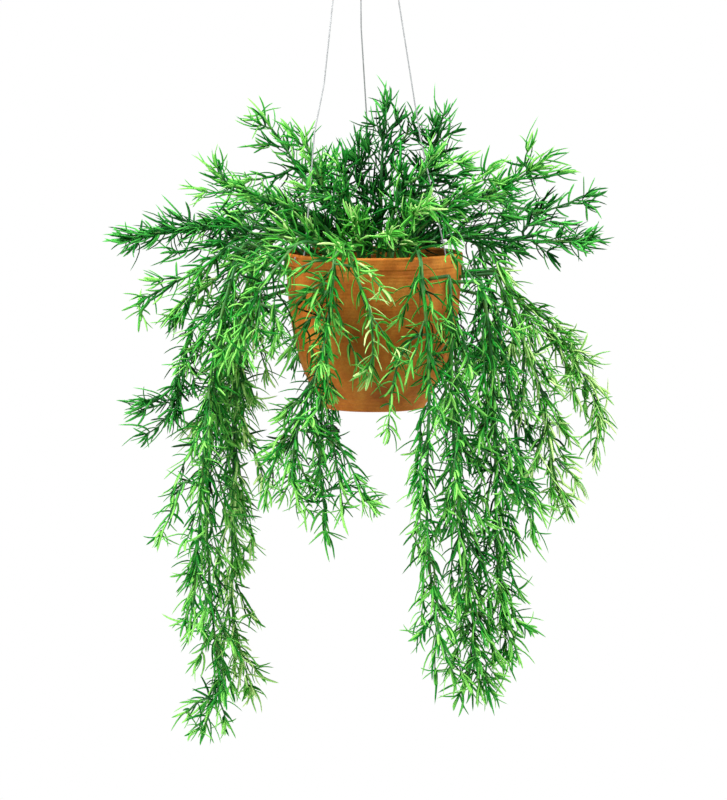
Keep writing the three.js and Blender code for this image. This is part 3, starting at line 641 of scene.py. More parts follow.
# %% Routes of the stems, in mm from the middle of the rim
# Each way of growing, in mm and degrees: how far its stems root from the pot's axis, every second one
# by some more, and how thick they are at the foot, as a radius. Then where the coarse model's branches
# start, how far apart and how long they are, how they lean from the stem and how much they sink. Last,
# how far apart and how long the shoots between them are.
RISE = {"root": 12, "rows": 0, "foot": 1.7, "bare": 16, "spacing": 38, "branch": 40,
        "lean": (34, 50), "droop": 0.1, "shoots": 18, "shoot": 34}
ARCH = {"root": 24, "rows": 0, "foot": 1.7, "bare": 18, "spacing": 48, "branch": 38,
        "lean": (30, 44), "droop": 0.15, "shoots": 24, "shoot": 30}
TRAIL = {"root": 38, "rows": 10, "foot": 1.8, "bare": 66, "spacing": 70, "branch": 50,
         "lean": (28, 44), "droop": 0.6, "shoots": 19, "shoot": 50}
# Each row: a stem's name, way of growing and tone, how full of shoots it is, where 1 is usual, how far
# above the soil its first leaves are, and its route. The routes that follow are its side stems, which
# fork from the nearest point of it and belong to its spray.
STEMS = [
    ("trail_left_back", TRAIL, "dark", 0.5, 120, [(-90, 21, 12), (-112, 24, -43), (-124, 24, -105),
        (-127, 24, -160), (-124, 24, -200), (-116, 24, -226)]),
    ("arch_left_low", TRAIL, "green", 0.2, 110, [(-112, 9, 16), (-140, 11, -12), (-158, 12, -36),
        (-172, 12, -56)]),
    ("trail_left_inner", TRAIL, "light", 1.3, 50, [(-92, -4, 12), (-107, -5, -42), (-117, -5, -110),
        (-121, -5, -196), (-122, -6, -262), (-121, -7, -318), (-110, -8, -362), (-103, -8, -382)],
        [(-108, -8, -112), (-102, -10, -126)], [(-106, -12, -164), (-99, -14, -180), (-95, -14, -194)]),
    ("trail_left_outer", TRAIL, "dark", 0.9, 160, [(-110, -14, 14), (-138, -15, -22), (-158, -16, -70),
        (-165, -17, -102), (-180, -18, -122), (-199, -18, -129)], [(-168, -20, -118), (-170, -22, -138)],
        [(-162, -18, -98), (-163, -18, -114)], [(-172, -20, -130), (-184, -20, -148), (-196, -20, -155)],
        [(-178, -20, -128), (-192, -20, -132), (-200, -20, -136)]),
    ("trail_left_long", TRAIL, "green", 1.2, 84, [(-98, -24, 12), (-120, -28, -10), (-128, -30, -66),
        (-138, -30, -142), (-143, -28, -228), (-138, -28, -314), (-133, -26, -368), (-146, -26, -408)],
        [(-146, -27, -382), (-161, -28, -395)], [(-126, -26, -358), (-122, -26, -372)]),
    ("arch_left_front", TRAIL, "green", 0.3, 96, [(-104, -36, 16), (-147, -44, -12), (-172, -48, -24),
        (-196, -50, -37)], [(-164, -48, -18), (-182, -48, -20)]),
    ("trail_left_front", TRAIL, "green", 0.6, 110, [(-100, -44, 12), (-126, -54, -38), (-141, -58, -124),
        (-147, -58, -209), (-152, -56, -278), (-157, -56, -318)],
        [(-161, -58, -192), (-172, -58, -218), (-181, -58, -237)]),
    ("trail_front_left", TRAIL, "green", 1.8, 50, [(-31, -86, 8), (-35, -94, -22), (-40, -94, -60),
        (-50, -93, -98), (-60, -91, -128), (-67, -89, -158), (-68, -88, -186), (-63, -86, -208)],
        [(-44, -92, -142), (-30, -92, -156), (-18, -92, -178), (-8, -92, -196), (0, -92, -208)],
        [(-38, -92, -150), (-31, -92, -176), (-28, -92, -198), (-26, -92, -210)],
        [(-20, -92, -190), (-10, -92, -202), (-4, -92, -204)], [(-54, -92, -26), (-85, -82, -43)],
        [(-46, -94, -20), (-66, -88, -38), (-78, -84, -58)],
        [(-52, -93, -48), (-64, -90, -64), (-72, -87, -76)], [(-62, -92, -118), (-74, -92, -126)],
        [(-46, -92, 0), (-60, -88, -6), (-72, -84, -12)], [(-24, -94, -4), (-12, -96, -8)],
        [(-76, -92, -150), (-86, -90, -178), (-91, -88, -198)],
        [(-49, -92, -136), (-45, -91, -182), (-42, -89, -210), (-41, -88, -232)]),
    ("trail_front_middle", TRAIL, "light", 0.6, 50, [(-22, -84, 10), (-14, -94, -16), (-4, -96, -42),
        (-1, -96, -76), (-3, -95, -98)]),
    ("trail_front_right", TRAIL, "green", 0.8, 50, [(36, -80, 8), (41, -91, -26), (45, -94, -70),
        (46, -94, -116), (45, -91, -158), (44, -89, -200), (46, -87, -246), (50, -84, -290),
        (58, -82, -328), (68, -80, -354)],
        [(33, -94, -65), (22, -96, -81), (16, -96, -103), (13, -95, -125), (12, -93, -144)],
        [(40, -94, -176), (36, -94, -200)], [(49, -88, -252), (51, -88, -268), (50, -88, -280)],
        [(51, -84, -300), (43, -84, -313), (37, -84, -319)]),
    ("trail_right_main", TRAIL, "green", 1.7, 92, [(56, -68, 12), (63, -75, -16), (65, -76, -62),
        (65, -75, -105), (67, -73, -148), (72, -70, -208), (79, -67, -268), (86, -64, -329),
        (91, -62, -370)], [(86, -64, -160), (113, -56, -181), (130, -50, -211), (135, -50, -236)],
        [(84, -68, -236), (95, -65, -270), (99, -63, -312)], [(92, -66, -304), (103, -64, -338)],
        [(84, -64, -340), (78, -64, -362), (72, -64, -374)], [(92, -62, -350), (99, -62, -370)],
        [(80, -68, -314), (72, -70, -330), (67, -70, -344)]),
    ("trail_right_inner", TRAIL, "green", 1.6, 96, [(76, -57, 12), (92, -60, -30), (101, -57, -107),
        (103, -55, -184), (104, -54, -250), (110, -56, -306), (113, -58, -344)],
        [(117, -57, -306), (125, -57, -312)], [(112, -50, -156), (124, -48, -176)],
        [(126, -48, -196), (141, -45, -214)]),
    ("trail_right_mid", TRAIL, "light", 1.4, 96, [(84, -22, 12), (106, -24, -24), (120, -26, -60),
        (137, -26, -98), (147, -26, -138), (152, -26, -178), (160, -26, -212)],
        [(158, -28, -176), (173, -28, -194)], [(142, -28, -160), (135, -28, -184)],
        [(142, -24, -84), (150, -22, -104)]),
    ("trail_right_outer", TRAIL, "light", 1.8, 84, [(88, 6, 10), (115, 7, -30), (148, 8, -70),
        (174, 8, -97), (188, 8, -124), (195, 8, -148)], [(168, 6, -104), (172, 4, -122)],
        [(134, 10, -46), (150, 12, -58), (164, 12, -76)], [(194, 6, -142), (191, 4, -172)]),
    ("trail_right_back", TRAIL, "dark", 1, 120, [(82, 30, 10), (100, 38, -28), (112, 43, -90),
        (122, 42, -150), (130, 42, -196), (134, 42, -220)]),
    ("trail_back_right", TRAIL, "dark", 1, 100, [(70, 54, 14), (92, 74, -24), (100, 84, -96),
        (98, 84, -160)]),
    ("trail_back_long", TRAIL, "dark", 1, 130, [(52, 74, 14), (66, 96, -26), (72, 104, -104),
        (74, 102, -186), (70, 98, -250)]),
    ("trail_back_short", TRAIL, "green", 1, 50, [(24, 92, 16), (30, 116, -20), (28, 122, -70),
        (20, 120, -112)]),
    ("trail_back_middle", TRAIL, "green", 1, 50, [(-14, 90, 16), (-12, 112, -18), (-10, 118, -84),
        (-8, 114, -122)]),
    ("trail_back_left", TRAIL, "dark", 1, 50, [(-52, 74, 14), (-50, 98, -26), (-46, 104, -104),
        (-46, 102, -172), (-48, 98, -204)]),
    ("trail_back_outer", TRAIL, "green", 1, 50, [(-84, 48, 14), (-108, 64, -24), (-118, 72, -92),
        (-116, 72, -158)]),
    ("rise_middle", RISE, "dark", 1.9, 12, [(6, 5, 30), (6, 5, 66), (11, 5, 130)],
        [(22, 4, 92), (34, 3, 112)]),
    ("rise_right", RISE, "dark", 2.3, 12, [(26, 12, 30), (40, 14, 56), (51, 15, 88), (60, 15, 119)],
        [(60, 12, 64), (74, 10, 66)], [(56, 12, 50), (68, 10, 56)], [(44, 12, 92), (38, 11, 100)]),
    ("rise_left", RISE, "green", 1.3, 12, [(-26, -5, 30), (-43, -6, 55), (-60, -6, 101)],
        [(-62, -6, 92), (-70, -6, 100)]),
    ("rise_left_arch", RISE, "green", 0.5, 12, [(-34, 16, 32), (-60, 22, 60), (-76, 22, 88),
        (-99, 22, 119)], [(-84, 20, 64), (-108, 18, 60)]),
    ("rise_centre_left", RISE, "green", 1.2, 12, [(-14, -14, 28), (-21, -16, 46), (-26, -16, 80)],
        [(-34, -36, 50), (-48, -48, 50), (-58, -52, 58)]),
    ("rise_back", RISE, "dark", 2.5, 12, [(-8, 24, 44), (-12, 36, 68), (-13, 44, 92)],
        [(-10, 34, 76), (-6, 32, 92)]),
    ("rise_front", RISE, "green", 1, 12, [(14, -20, 26), (19, -30, 44), (22, -36, 74)],
        [(26, -44, 50), (38, -52, 46), (46, -56, 43)], [(30, -44, 62), (42, -52, 72), (50, -54, 86)]),
    ("arch_right_high", ARCH, "green", 2.0, 14, [(46, 7, 26), (84, 7, 42), (120, 6, 60), (147, 6, 80)],
        [(128, 4, 76), (132, 2, 88)], [(138, 8, 62), (160, 8, 68)]),
    ("arch_right_front", ARCH, "green", 1.2, 14, [(38, -20, 28), (60, -24, 40), (84, -26, 58),
        (98, -28, 74)], [(56, -44, 36), (62, -56, 26), (66, -62, 14)]),
    ("arch_left_high", ARCH, "green", 1.4, 14, [(-46, -8, 26), (-74, -11, 40), (-108, -13, 52),
        (-134, -13, 66)], [(-124, -16, 52), (-146, -18, 52)], [(-128, -14, 64), (-134, -14, 74)]),
    ("arch_left_level", ARCH, "dark", 2.0, 14, [(-52, 4, 14), (-90, 2, 20), (-150, -2, 23),
        (-190, -4, 14), (-216, -4, 9)], [(-128, -4, 10), (-150, -6, 3), (-172, -6, 0)],
        [(-140, -4, 20), (-165, -6, 20), (-190, -6, 16)], [(-196, -4, 12), (-210, -5, 14)]),
    ("arch_right_level", ARCH, "dark", 0.7, 14, [(52, 20, 14), (92, 26, 20), (150, 28, 34),
        (187, 28, 48)], [(78, 20, 24), (96, 18, 32), (112, 16, 30)]),
    ("arch_right_low", ARCH, "dark", 1.9, 14, [(56, -8, 12), (108, -10, 12), (154, -12, 10),
        (188, -12, 14)], [(112, -12, 6), (124, -12, 1)],
        [(128, -14, 22), (150, -16, 27), (162, -16, 25)], [(168, -14, 8), (182, -14, 9)]),
    ("arch_front_right", ARCH, "light", 1, 14, [(22, -42, 20), (32, -64, 34), (42, -82, 44)]),
    ("arch_front", ARCH, "light", 0.2, 14, [(6, -52, 14), (10, -72, 22), (13, -90, 20)]),
    ("arch_front_left", ARCH, "light", 0.2, 14, [(-14, -44, 20), (-18, -66, 32)]),
    ("arch_left_droop", ARCH, "light", 1, 14, [(-50, -40, 14), (-76, -66, 12), (-92, -80, -2)]),
    ("trail_left_near", TRAIL, "green", 1, 50, [(-58, -72, 14), (-82, -96, -6), (-102, -108, -36),
        (-120, -112, -82)], [(-84, -98, -44), (-86, -98, -72)]),
    ("arch_back_left", ARCH, "green", 1, 14, [(-20, 50, 32), (-40, 108, 62), (-52, 154, 58)]),
    ("arch_back_right", ARCH, "green", 1, 14, [(28, 46, 32), (58, 104, 68), (82, 146, 68)]),
    ("arch_back_outer", ARCH, "dark", 1, 14, [(-42, 38, 22), (-90, 86, 42), (-128, 126, 30)]),
    ("arch_back_low", ARCH, "dark", 1, 14, [(46, 36, 20), (96, 74, 42), (140, 108, 26)]),
    ("arch_left_back", ARCH, "green", 1, 14, [(-52, 24, 16), (-102, 42, 32), (-150, 58, 16)]),
]
STEM_PARTS = ("name", "way", "tone", "fullness", "leafy_from", "route")
stems = [{**dict(zip(STEM_PARTS, row)), "side_routes": row[len(STEM_PARTS):]} for row in STEMS]
print(len(stems), "stems and", sum(len(stem["side_routes"]) for stem in stems), "side stems")

# %% [markdown]
# ## The skeleton
# Each stem stands upright in the soil and then follows its route on a smooth curve. Branches leave it
# in turn round it by the golden angle, 137.5 degrees, as on most plants, so that none hides the next.
# The CAD model kept its branches clear of each other, of the wires and of the pot. The same rule is
# worked out again here, from the same repeatable numbers, so that the fine branches lie where the
# coarse ones are.

# %% Stem lines
ROOT_DEPTH = 13  # mm of each stem in the soil
TIP_REACH = 11  # mm that a stem runs on beyond its route
ROOT_SHARE = 0.55  # of the way out to its route's first point, at most, where a stem roots
FIRST_SLOPE = 0.9  # how strongly it sets out upright, as a share of its first span
GOLDEN_ANGLE = 137.5
STEM_STEPS = 12  # from one point of a route to the next
SIDE_STEM_STEPS = 8


def draws(seed):
    """Repeatable numbers from 0 to 1: each state is the last one times 16807, left over 2^31 - 1."""
    state = (seed * 7919 + 12345) % 2147483647
    while True:
        state = state * 16807 % 2147483647
        yield state / 2147483647


def stem_line(way, route, index):
    """A stem's middle line: straight up through the soil, a smooth curve through the route and a
    straight point beyond it."""
    route = np.array(route, float)
    reach = min(way["root"] + index % 2 * way["rows"], ROOT_SHARE * math.hypot(*route[0, :2]))
    heading = math.atan2(route[0, 1], route[0, 0])
    foot = (reach * math.cos(heading), reach * math.sin(heading), SOIL_TOP + 1)
    points = np.vstack([foot, route])
    slopes = np.gradient(points, axis=0)
    slopes[0] = (0, 0, FIRST_SLOPE * math.dist(points[0], points[1]))
    line = np.vstack([points[0] - (0, 0, ROOT_DEPTH), smooth_through(points, STEM_STEPS, slopes)])
    return np.vstack([line, line[-1] + TIP_REACH * unit(line[-1] - line[-2])])


def measured(points):
    """A line with the distance along it and the directions at each of its points."""
    points = np.asarray(points, float)
    forward, across, _ = carried(points, always_from_x=True)
    steps = np.linalg.norm(np.diff(points, axis=0), axis=1)
    return {"points": points, "at": np.concatenate([[0], np.cumsum(steps)]), "forward": forward,
            "across": across}


def place(line, s):
    """Where a line is at the distances s along it, its direction there and two directions across it,
    each blended between the two nearest points of the line."""
    s = np.atleast_1d(s)
    point, forward, across = (
        np.stack([np.interp(s, line["at"], line[part][:, axis]) for axis in range(3)], 1)
        for part in ("points", "forward", "across"))
    forward = unit(forward)
    across = unit(across - (across * forward).sum(1, keepdims=True) * forward)
    return point, forward, across, np.cross(forward, across)


def evenly(start, last, spacing):
    """Distances from start to last, as near to the spacing as whole steps allow."""
    count = max(1, math.floor((last - start) / spacing + 0.5))
    return start + (last - start) * np.arange(count + 1) / count


for index, stem in enumerate(stems):
    stem["line"] = measured(stem_line(stem["way"], stem["route"], index))
    stem["end"] = stem["line"]["at"][-1]
print("stems together:", round(sum(stem["end"] for stem in stems) / 1000, 2), "m")

# %% Keeping branches clear
TIP_LENGTH = 16  # mm of a coarse twig beyond its last whorl
WHORL_BAND = 1.6  # mm of a coarse twig that a whorl takes up
RING_STEP = 20  # mm between the corners of a coarse twig before its first whorl
COARSE_TIP = 0.9  # mm, the radius of a coarse stem at its tip
BRANCH_RADIUS = 0.85
BRANCH_ROOM = 0.5  # mm kept free round a branch, beyond its own radius
BRANCH_STEPS = 8
CLEARANCE = 0.7  # mm between any two twigs
POT_ROOM = 2  # mm that branches keep from the pot
NEAR_FOOT = 8  # mm from its foot in which a branch may touch its own stem
POT_SKIN = np.array([(43, POT_BASE), (45, -130.5), (50, -121.5), (58, -108), (63, -94.5), (68, -75),
                     (72.4, -52), (75, -11), (76, -10), (76, -1), (75.2, 0)], float)
taken = {"from": [], "to": [], "radius": [], "twig": []}


def pot_radius(z):
    """The pot's outer radius at a height: its outline, with some room above the rim and below."""
    radius = np.interp(z, POT_SKIN[:, 1], POT_SKIN[:, 0])
    return np.where((z > 2) | (z < POT_BASE - 5), 0, np.where(z > 0, RIM_RADIUS, radius))


def off_pot(points, margin):
    """Whether each point is outside the pot by a margin, or above the soil inside its mouth."""
    radius = np.hypot(points[..., 0], points[..., 1])
    within = (points[..., 2] > SOIL_TOP + 1 + margin) & (radius < MOUTH_RADIUS - margin)
    return within | (radius >= pot_radius(points[..., 2]) + margin)


def gaps(start, end, starts, ends):
    """The shortest distance between one straight length and many: the nearest points of the two
    lines, each held to its own length."""
    d1, d2, r = end - start, ends - starts, start - starts
    a, e, f = d1 @ d1, (d2 * d2).sum(1), (d2 * r).sum(1)
    c, b = r @ d1, d2 @ d1
    spread = a * e - b * b
    s = np.where(spread > 1e-9, np.clip((b * f - c * e) / np.where(spread > 1e-9, spread, 1), 0, 1), 0)
    t = (b * s + f) / e
    held = np.clip(t, 0, 1)
    s = np.where(held != t, np.clip((b * held - c) / a, 0, 1), s)
    return np.linalg.norm(start + s[:, None] * d1 - starts - held[:, None] * d2, axis=1)


def take(points, radii, twig):
    """Notes the straight lengths of a twig as taken."""
    taken["from"] += list(points[:-1])
    taken["to"] += list(points[1:])
    taken["radius"] += list(radii[:-1])
    taken["twig"] += [twig] * (len(points) - 1)


def ring_places(whorls, end, is_stem):
    """Where a coarse twig has its corners: its foot, close steps to the first whorl, then both sides
    of each whorl, and its tip."""
    bend_at = ROOT_DEPTH if is_stem else 0
    steps = math.ceil((whorls[0] - bend_at) / RING_STEP)
    climb = bend_at + (whorls[0] - bend_at) * np.arange(steps) / steps
    bands = (whorls[:, None] + np.array((-WHORL_BAND / 2, WHORL_BAND / 2))).ravel()
    return np.concatenate([[0] if is_stem else [], climb, bands, [end]])


def clear_eighths(points, stem, foot):
    """How many eighths of a branch keep clear of the pot and of everything taken before it."""
    starts, ends = np.array(taken["from"]), np.array(taken["to"])
    radius, twig = np.array(taken["radius"]), np.array(taken["twig"])
    for i in range(BRANCH_STEPS):
        near_foot = math.dist(points[i], foot) < NEAR_FOOT
        others = ~((twig == stem) & near_foot)
        room = BRANCH_RADIUS + BRANCH_ROOM + radius[others] + CLEARANCE
        close = gaps(points[i], points[i + 1], starts[others], ends[others]) < room
        samples = points[i] + np.linspace(0, 1, 7)[:, None] * (points[i + 1] - points[i])
        if close.any() or not off_pot(samples, POT_ROOM).all():
            return i
    return BRANCH_STEPS


for name, degrees, across, kinks, _ in WIRES:
    corners = np.array([(across - POT_SHIFT, 0, HANG_DROP - LOOP_DROP - LOOP_RADIUS), *kinks,
                        polar(WIRE_INSET - 2, degrees, 6)])
    take(corners, [WIRE_RADIUS] * len(corners), -1)
for index, stem in enumerate(stems):
    way, end = stem["way"], stem["end"]
    stem["random"] = draws(index + 1)
    next(stem["random"])
    stem["whorls"] = evenly(ROOT_DEPTH + way["bare"], end - TIP_LENGTH, way["spacing"])
    s = ring_places(stem["whorls"], end, True)
    take(place(stem["line"], s)[0], way["foot"] + (COARSE_TIP - way["foot"]) * s / end, index)
print(len(taken["from"]), "straight lengths of wires and stems")

# %% Branches of the coarse model
BRANCH_WHORLS = 30  # mm between the whorls of a coarse branch
BRANCH_BARE = 9  # mm of it before the first one
LEAST_STEPS = 4  # a branch with less room than these isn't grown
TIP_REST = 13  # mm of a coarse twig's bare tip that the needles at its end take up


def branch_path(foot, forward, across, upward, turn, lean, length, droop):
    """A branch: straight out at a lean from its stem, and sinking by droop x length x u^2 / 2."""
    around = math.radians(turn)
    out = across * math.cos(around) + upward * math.sin(around)
    heading = forward * math.cos(lean) + out * math.sin(lean)
    u = np.arange(BRANCH_STEPS + 1)[:, None] / BRANCH_STEPS
    return foot + heading * length * u - np.array((0, 0, 1)) * droop * length * u**2 / 2


twig_number = len(stems)
for index, stem in enumerate(stems):
    way, random = stem["way"], stem["random"]
    stem["twigs"] = []
    turn = 360 * next(random)
    for whorl in stem["whorls"][:-1]:
        s = whorl + WHORL_BAND / 2
        turn += GOLDEN_ANGLE
        wanted = way["branch"] * (1.05 - 0.45 * s / stem["end"]) * (0.8 + 0.4 * next(random))
        low, high = way["lean"]
        lean = math.radians(low + (high - low) * next(random))
        next(random)
        (foot,), (forward,), (across,), (upward,) = place(stem["line"], s)
        best, best_reach = None, -1
        for shift in (0, 50, -50, 100):
            points = branch_path(foot, forward, across, upward, turn + shift, lean, wanted, way["droop"])
            reach = clear_eighths(points, index, foot)
            if reach > best_reach:
                best, best_reach = points, reach
            if reach == BRANCH_STEPS:
                break
        if best_reach < LEAST_STEPS:
            continue
        twig = measured(best[: best_reach + 1])
        end = twig["at"][-1]
        rings = ring_places(evenly(BRANCH_BARE, end - TIP_LENGTH, BRANCH_WHORLS), end, False)
        take(place(twig, rings)[0], BRANCH_RADIUS * (1 - 0.3 * rings / end), twig_number)
        stem["twigs"].append({"line": twig, "at": s, "end": end - TIP_REST})
        twig_number += 1
branches = [twig["line"]["at"][-1] for stem in stems for twig in stem["twigs"]]
print(len(branches), "branches,", round(sum(branches) / 1000, 2), "m")

# %% [markdown]
# ## Shoots between the branches
# The coarse model carries only a few branches of the real spray. The rest are long side shoots that
# run nearly along their stem and hang with it, and only the last of them get shorter, which gives each
# spray its blunt end. They only need to look right, so they may cross their neighbours, but they never
# enter the pot, and they stay in the room that the coarse model takes up. Where the photograph shows a
# stem that forks, its side stems are added too.

# %% Shoots
SPRAY_ROOM = 6  # mm that needles may pass the coarse model's box
SHOOT_ROOM = 14  # mm inside that room that shoots keep to, for their needles
SHOOT_OFF_POT = 5  # mm that shoots keep from the pot
BESIDE_BRANCH = 6  # mm from a branch in which no shoot is grown
FIRST_SHOOT = 8  # mm beyond the stem's first leaves
LAST_SHOOT = 30  # mm before the stem's tip
SHOOT_STRAY = 4  # mm either way
SHOOT_LENGTHS = (0.6, 1.15)  # least and most, as shares of the usual length
SHOOT_DROOPS = (0.4, 1.0)  # least and most, as shares of the branches' own
SHOOT_SEED = 500
room_low = (np.array(cad_low) * 1000 - SPRAY_ROOM) - (POT_SHIFT, 0, -HANG_DROP)
room_high = (np.array(cad_high) * 1000 + SPRAY_ROOM) - (POT_SHIFT, 0, -HANG_DROP)


def in_room(points, margin):
    """Whether each point is inside the coarse model's box, grown by some room, by a margin."""
    return ((points > room_low + margin) & (points < room_high - margin)).all(-1)


def wandering(points, rng):
    """A twig that strays sideways, as real ones do: by a slow bend u^2 and a sway u sin(7u), each in a
    chance direction and a small share of its length."""
    u = np.linspace(0, 1, len(points))[:, None]
    length = math.dist(points[0], points[-1])
    bend, sway = rng.normal(0, 0.09, 3), rng.normal(0, 0.05, 3)
    return points + length * (bend * u**2 + sway * u * np.sin(7 * u))


for index, stem in enumerate(stems):
    rng = np.random.default_rng(SHOOT_SEED + index)
    way, line, end = stem["way"], stem["line"], stem["end"]
    used = np.array([branch["at"] for branch in stem["twigs"]] or [-100.0])
    turn = rng.uniform(0, 360)
    for s in evenly(ROOT_DEPTH + stem["leafy_from"] + FIRST_SHOOT, end - LAST_SHOOT,
                    way["shoots"] / stem["fullness"]):
        s = s + rng.uniform(-SHOOT_STRAY, SHOOT_STRAY)
        turn += GOLDEN_ANGLE
        # Shoots get shorter over the last 154 mm, and none reaches past its stem's tip.
        length = way["shoot"] * rng.uniform(*SHOOT_LENGTHS) * min(1, 0.3 + (end - s) / 220)
        length = min(length, 0.9 * (end - s))
        low, high = way["lean"]
        lean = math.radians(rng.uniform(low - 12, high - 8))
        droop = way["droop"] * rng.uniform(*SHOOT_DROOPS)
        if np.abs(used - s).min() < BESIDE_BRANCH:
            continue
        (foot,), (forward,), (across,), (upward,) = place(line, s)
        # A shoot that would enter the pot or leave the room is tried on another side, then shorter.
        for shift, share in ((0, 1), (90, 1), (-90, 1), (180, 1), (0, 0.6), (180, 0.6)):
            points = wandering(branch_path(foot, forward, across, upward, turn + shift, lean,
                                           length * share, droop), rng)
            if off_pot(points[1:], SHOOT_OFF_POT).all() and in_room(points, SHOOT_ROOM).all():
                twig = measured(points)
                stem["twigs"].append({"line": twig, "end": twig["at"][-1]})
                break
    for route in stem["side_routes"]:
        from_joint = np.linalg.norm(line["points"] - np.array(route[0]), axis=1)
        twig = measured(smooth_through([line["points"][from_joint.argmin()], *route], SIDE_STEM_STEPS))
        stem["twigs"].append({"line": twig, "end": twig["at"][-1], "is_side_stem": True})
print(sum(len(stem["twigs"]) for stem in stems), "branches, shoots and side stems")

# %% [markdown]
# ## Needles
# What look like leaves on an asparagus fern are flattened shoots, like small curved needles, most of
# them 15 to 27 mm long along their curve. They stand out from the twig in loose whorls every 10 to
# 12 mm, bend like claws towards its tip, and close to a fan there. Each needle is five small rings and
# a point, 21 faces in all, because there are thousands. The needles of a twig are worked out together:
# their middle lines are root + heading L u + bend L u^2.

# %% Needle shape
NEEDLE_PLACES = np.array([0, 0.2, 0.45, 0.7, 0.9])  # of the rings, as shares of the needle's length
NEEDLE_WIDTHS = np.array([0.7, 1.0, 1.0, 0.92, 0.66])  # of the rings, as shares of its widest
NEEDLE_FLATNESS = 0.55  # thickness over width
# Painted light: each needle's face is lightened as a painted highlight, and its edges and back are
# darkened as painted shade.
PAINTED_SHADE_AND_HIGHLIGHT = np.array([-0.08, 0.2, -0.2, -0.5])  # added to the shade at a ring's edges, face and back
NEEDLE_POINTS = 4 * len(NEEDLE_PLACES) + 1
NEEDLE_FACES = [grid_faces(len(NEEDLE_PLACES), 4), cone_faces(len(NEEDLE_PLACES), 4),
                np.array([[3, 2, 1, 0]])]  # its sides, its point and its root


def add_needles(shape, slot, needles):
    """Adds needles to a shape. Each ring stands across the middle line, a wide and flat diamond."""
    root, heading, bend, blade = (needles[part] for part in ("root", "heading", "bend", "blade"))
    length, width = needles["length"][:, None, None], needles["width"][:, None]
    u = NEEDLE_PLACES[:, None]
    centre = root[:, None] + length * (heading[:, None] * u + bend[:, None] * u**2)
    forward = unit(heading[:, None] + 2 * u * bend[:, None])
    side = unit(blade[:, None] - (blade[:, None] * forward).sum(-1, keepdims=True) * forward)
    face = np.cross(forward, side)
    half = (width / 2 * NEEDLE_WIDTHS)[..., None, None]
    turn = all_round(4)[:, None]
    ring = np.cos(turn) * side[:, :, None] + NEEDLE_FLATNESS * np.sin(turn) * face[:, :, None]
    rings = (centre[:, :, None] + half * ring).reshape(len(root), -1, 3)
    tip = root + needles["length"][:, None] * (heading + bend)
    points = np.concatenate([rings, tip[:, None]], 1)
    first = NEEDLE_POINTS * np.arange(len(root))[:, None, None]
    faces = [(first + part).reshape(-1, part.shape[1]) for part in NEEDLE_FACES]
    along = np.append(np.repeat(NEEDLE_PLACES, 4), 1.0)
    # Painted highlight and painted shade round each ring, added to the needle's chance shade.
    painted_sides = np.append(np.tile(PAINTED_SHADE_AND_HIGHLIGHT, len(NEEDLE_PLACES)), 0)
    shade = needles["shade"][:, None] + painted_sides
    marks = np.stack(np.broadcast_arrays(shade, along[None], needles["youth"][:, None]), -1)
    shape.add(metres(points), faces, slot, marks.reshape(-1, 3))


# Each kind of needle: its lean from the twig at the twig's foot and at its tip and the spread of that,
# in degrees, its curve towards the tip, its width in mm and how far its face is turned, in radians.
FREE = {"lean": (80, 64), "spread": 15, "curve": (0.68, 0.32), "width": (1.6, 2.4), "twist": 0.6}
CLASPING = {"lean": (26, 18), "spread": 8, "curve": (0.05, 0.2), "width": (2.0, 2.8), "twist": 0.3}
AT_TIP = {"lean": (46, 46), "spread": 24, "curve": (0.2, 0.5), "width": (1.7, 2.4), "twist": 0.5}
SIDEWAYS = 0.24  # how much needles of every kind bend to a side
STRAY_ALONG = 1.5  # mm that a needle may stand before or behind its place on the twig
STRAY_ROUND = 25  # degrees that it may stand to either side of its place round the twig
NEEDLE_OFF_POT = 0.8  # mm that needles keep from the pot


def grow_needles(line, places, each, kind, length, rng):
    """Needles at places along a twig: round it by the golden angle, at a lean from it, and curving
    towards its tip. Those that would enter the pot are shortened, or left out."""
    s = np.repeat(places, each) + rng.uniform(-STRAY_ALONG, STRAY_ALONG, len(places) * each)
    s = np.clip(s, 0, line["at"][-1])
    count = len(s)
    order, slot = np.divmod(np.arange(count), each)
    around = np.radians(order * GOLDEN_ANGLE + slot * 360 / each
                        + rng.uniform(-STRAY_ROUND, STRAY_ROUND, count)
                        + rng.uniform(0, 360))[:, None]
    point, forward, across, upward = place(line, s)
    out = across * np.cos(around) + upward * np.sin(around)
    lean = np.interp(s, [places[0], places[-1] + 0.1], kind["lean"])
    lean = lean + rng.normal(0, kind["spread"], count)
    lean = np.radians(np.clip(lean, 5, 95))[:, None]
    heading = forward * np.cos(lean) + out * np.sin(lean)
    ahead = unit(forward - heading * (forward * heading).sum(1, keepdims=True))
    blade = unit(np.cross(heading, ahead))
    curve = rng.normal(*kind["curve"], count)[:, None]
    sideways = rng.normal(0, SIDEWAYS, count)[:, None]
    twist = rng.normal(0, kind["twist"], count)[:, None]
    return kept_in_room({
        "root": point + out * 0.3, "heading": heading, "bend": ahead * curve + blade * sideways,
        "blade": blade * np.cos(twist) + ahead * np.sin(twist),
        "length": rng.uniform(*length, count), "width": rng.uniform(*kind["width"], count),
        "shade": rng.uniform(0, 1, count), "youth": s / line["at"][-1],
    })


def leafy(line, places, end, each, longest, rng):
    """All needles of a twig: free ones in whorls, broad ones that clasp it, and a star at its tip."""
    return [
        grow_needles(line, places, each, FREE, (0.6 * longest, longest), rng),
        grow_needles(line, places + 1.5, 1, CLASPING, (0.5 * longest, 0.8 * longest), rng),
        grow_needles(line, np.array([end - 1.5]), 5, AT_TIP, (0.6 * longest, 0.95 * longest), rng),
    ]


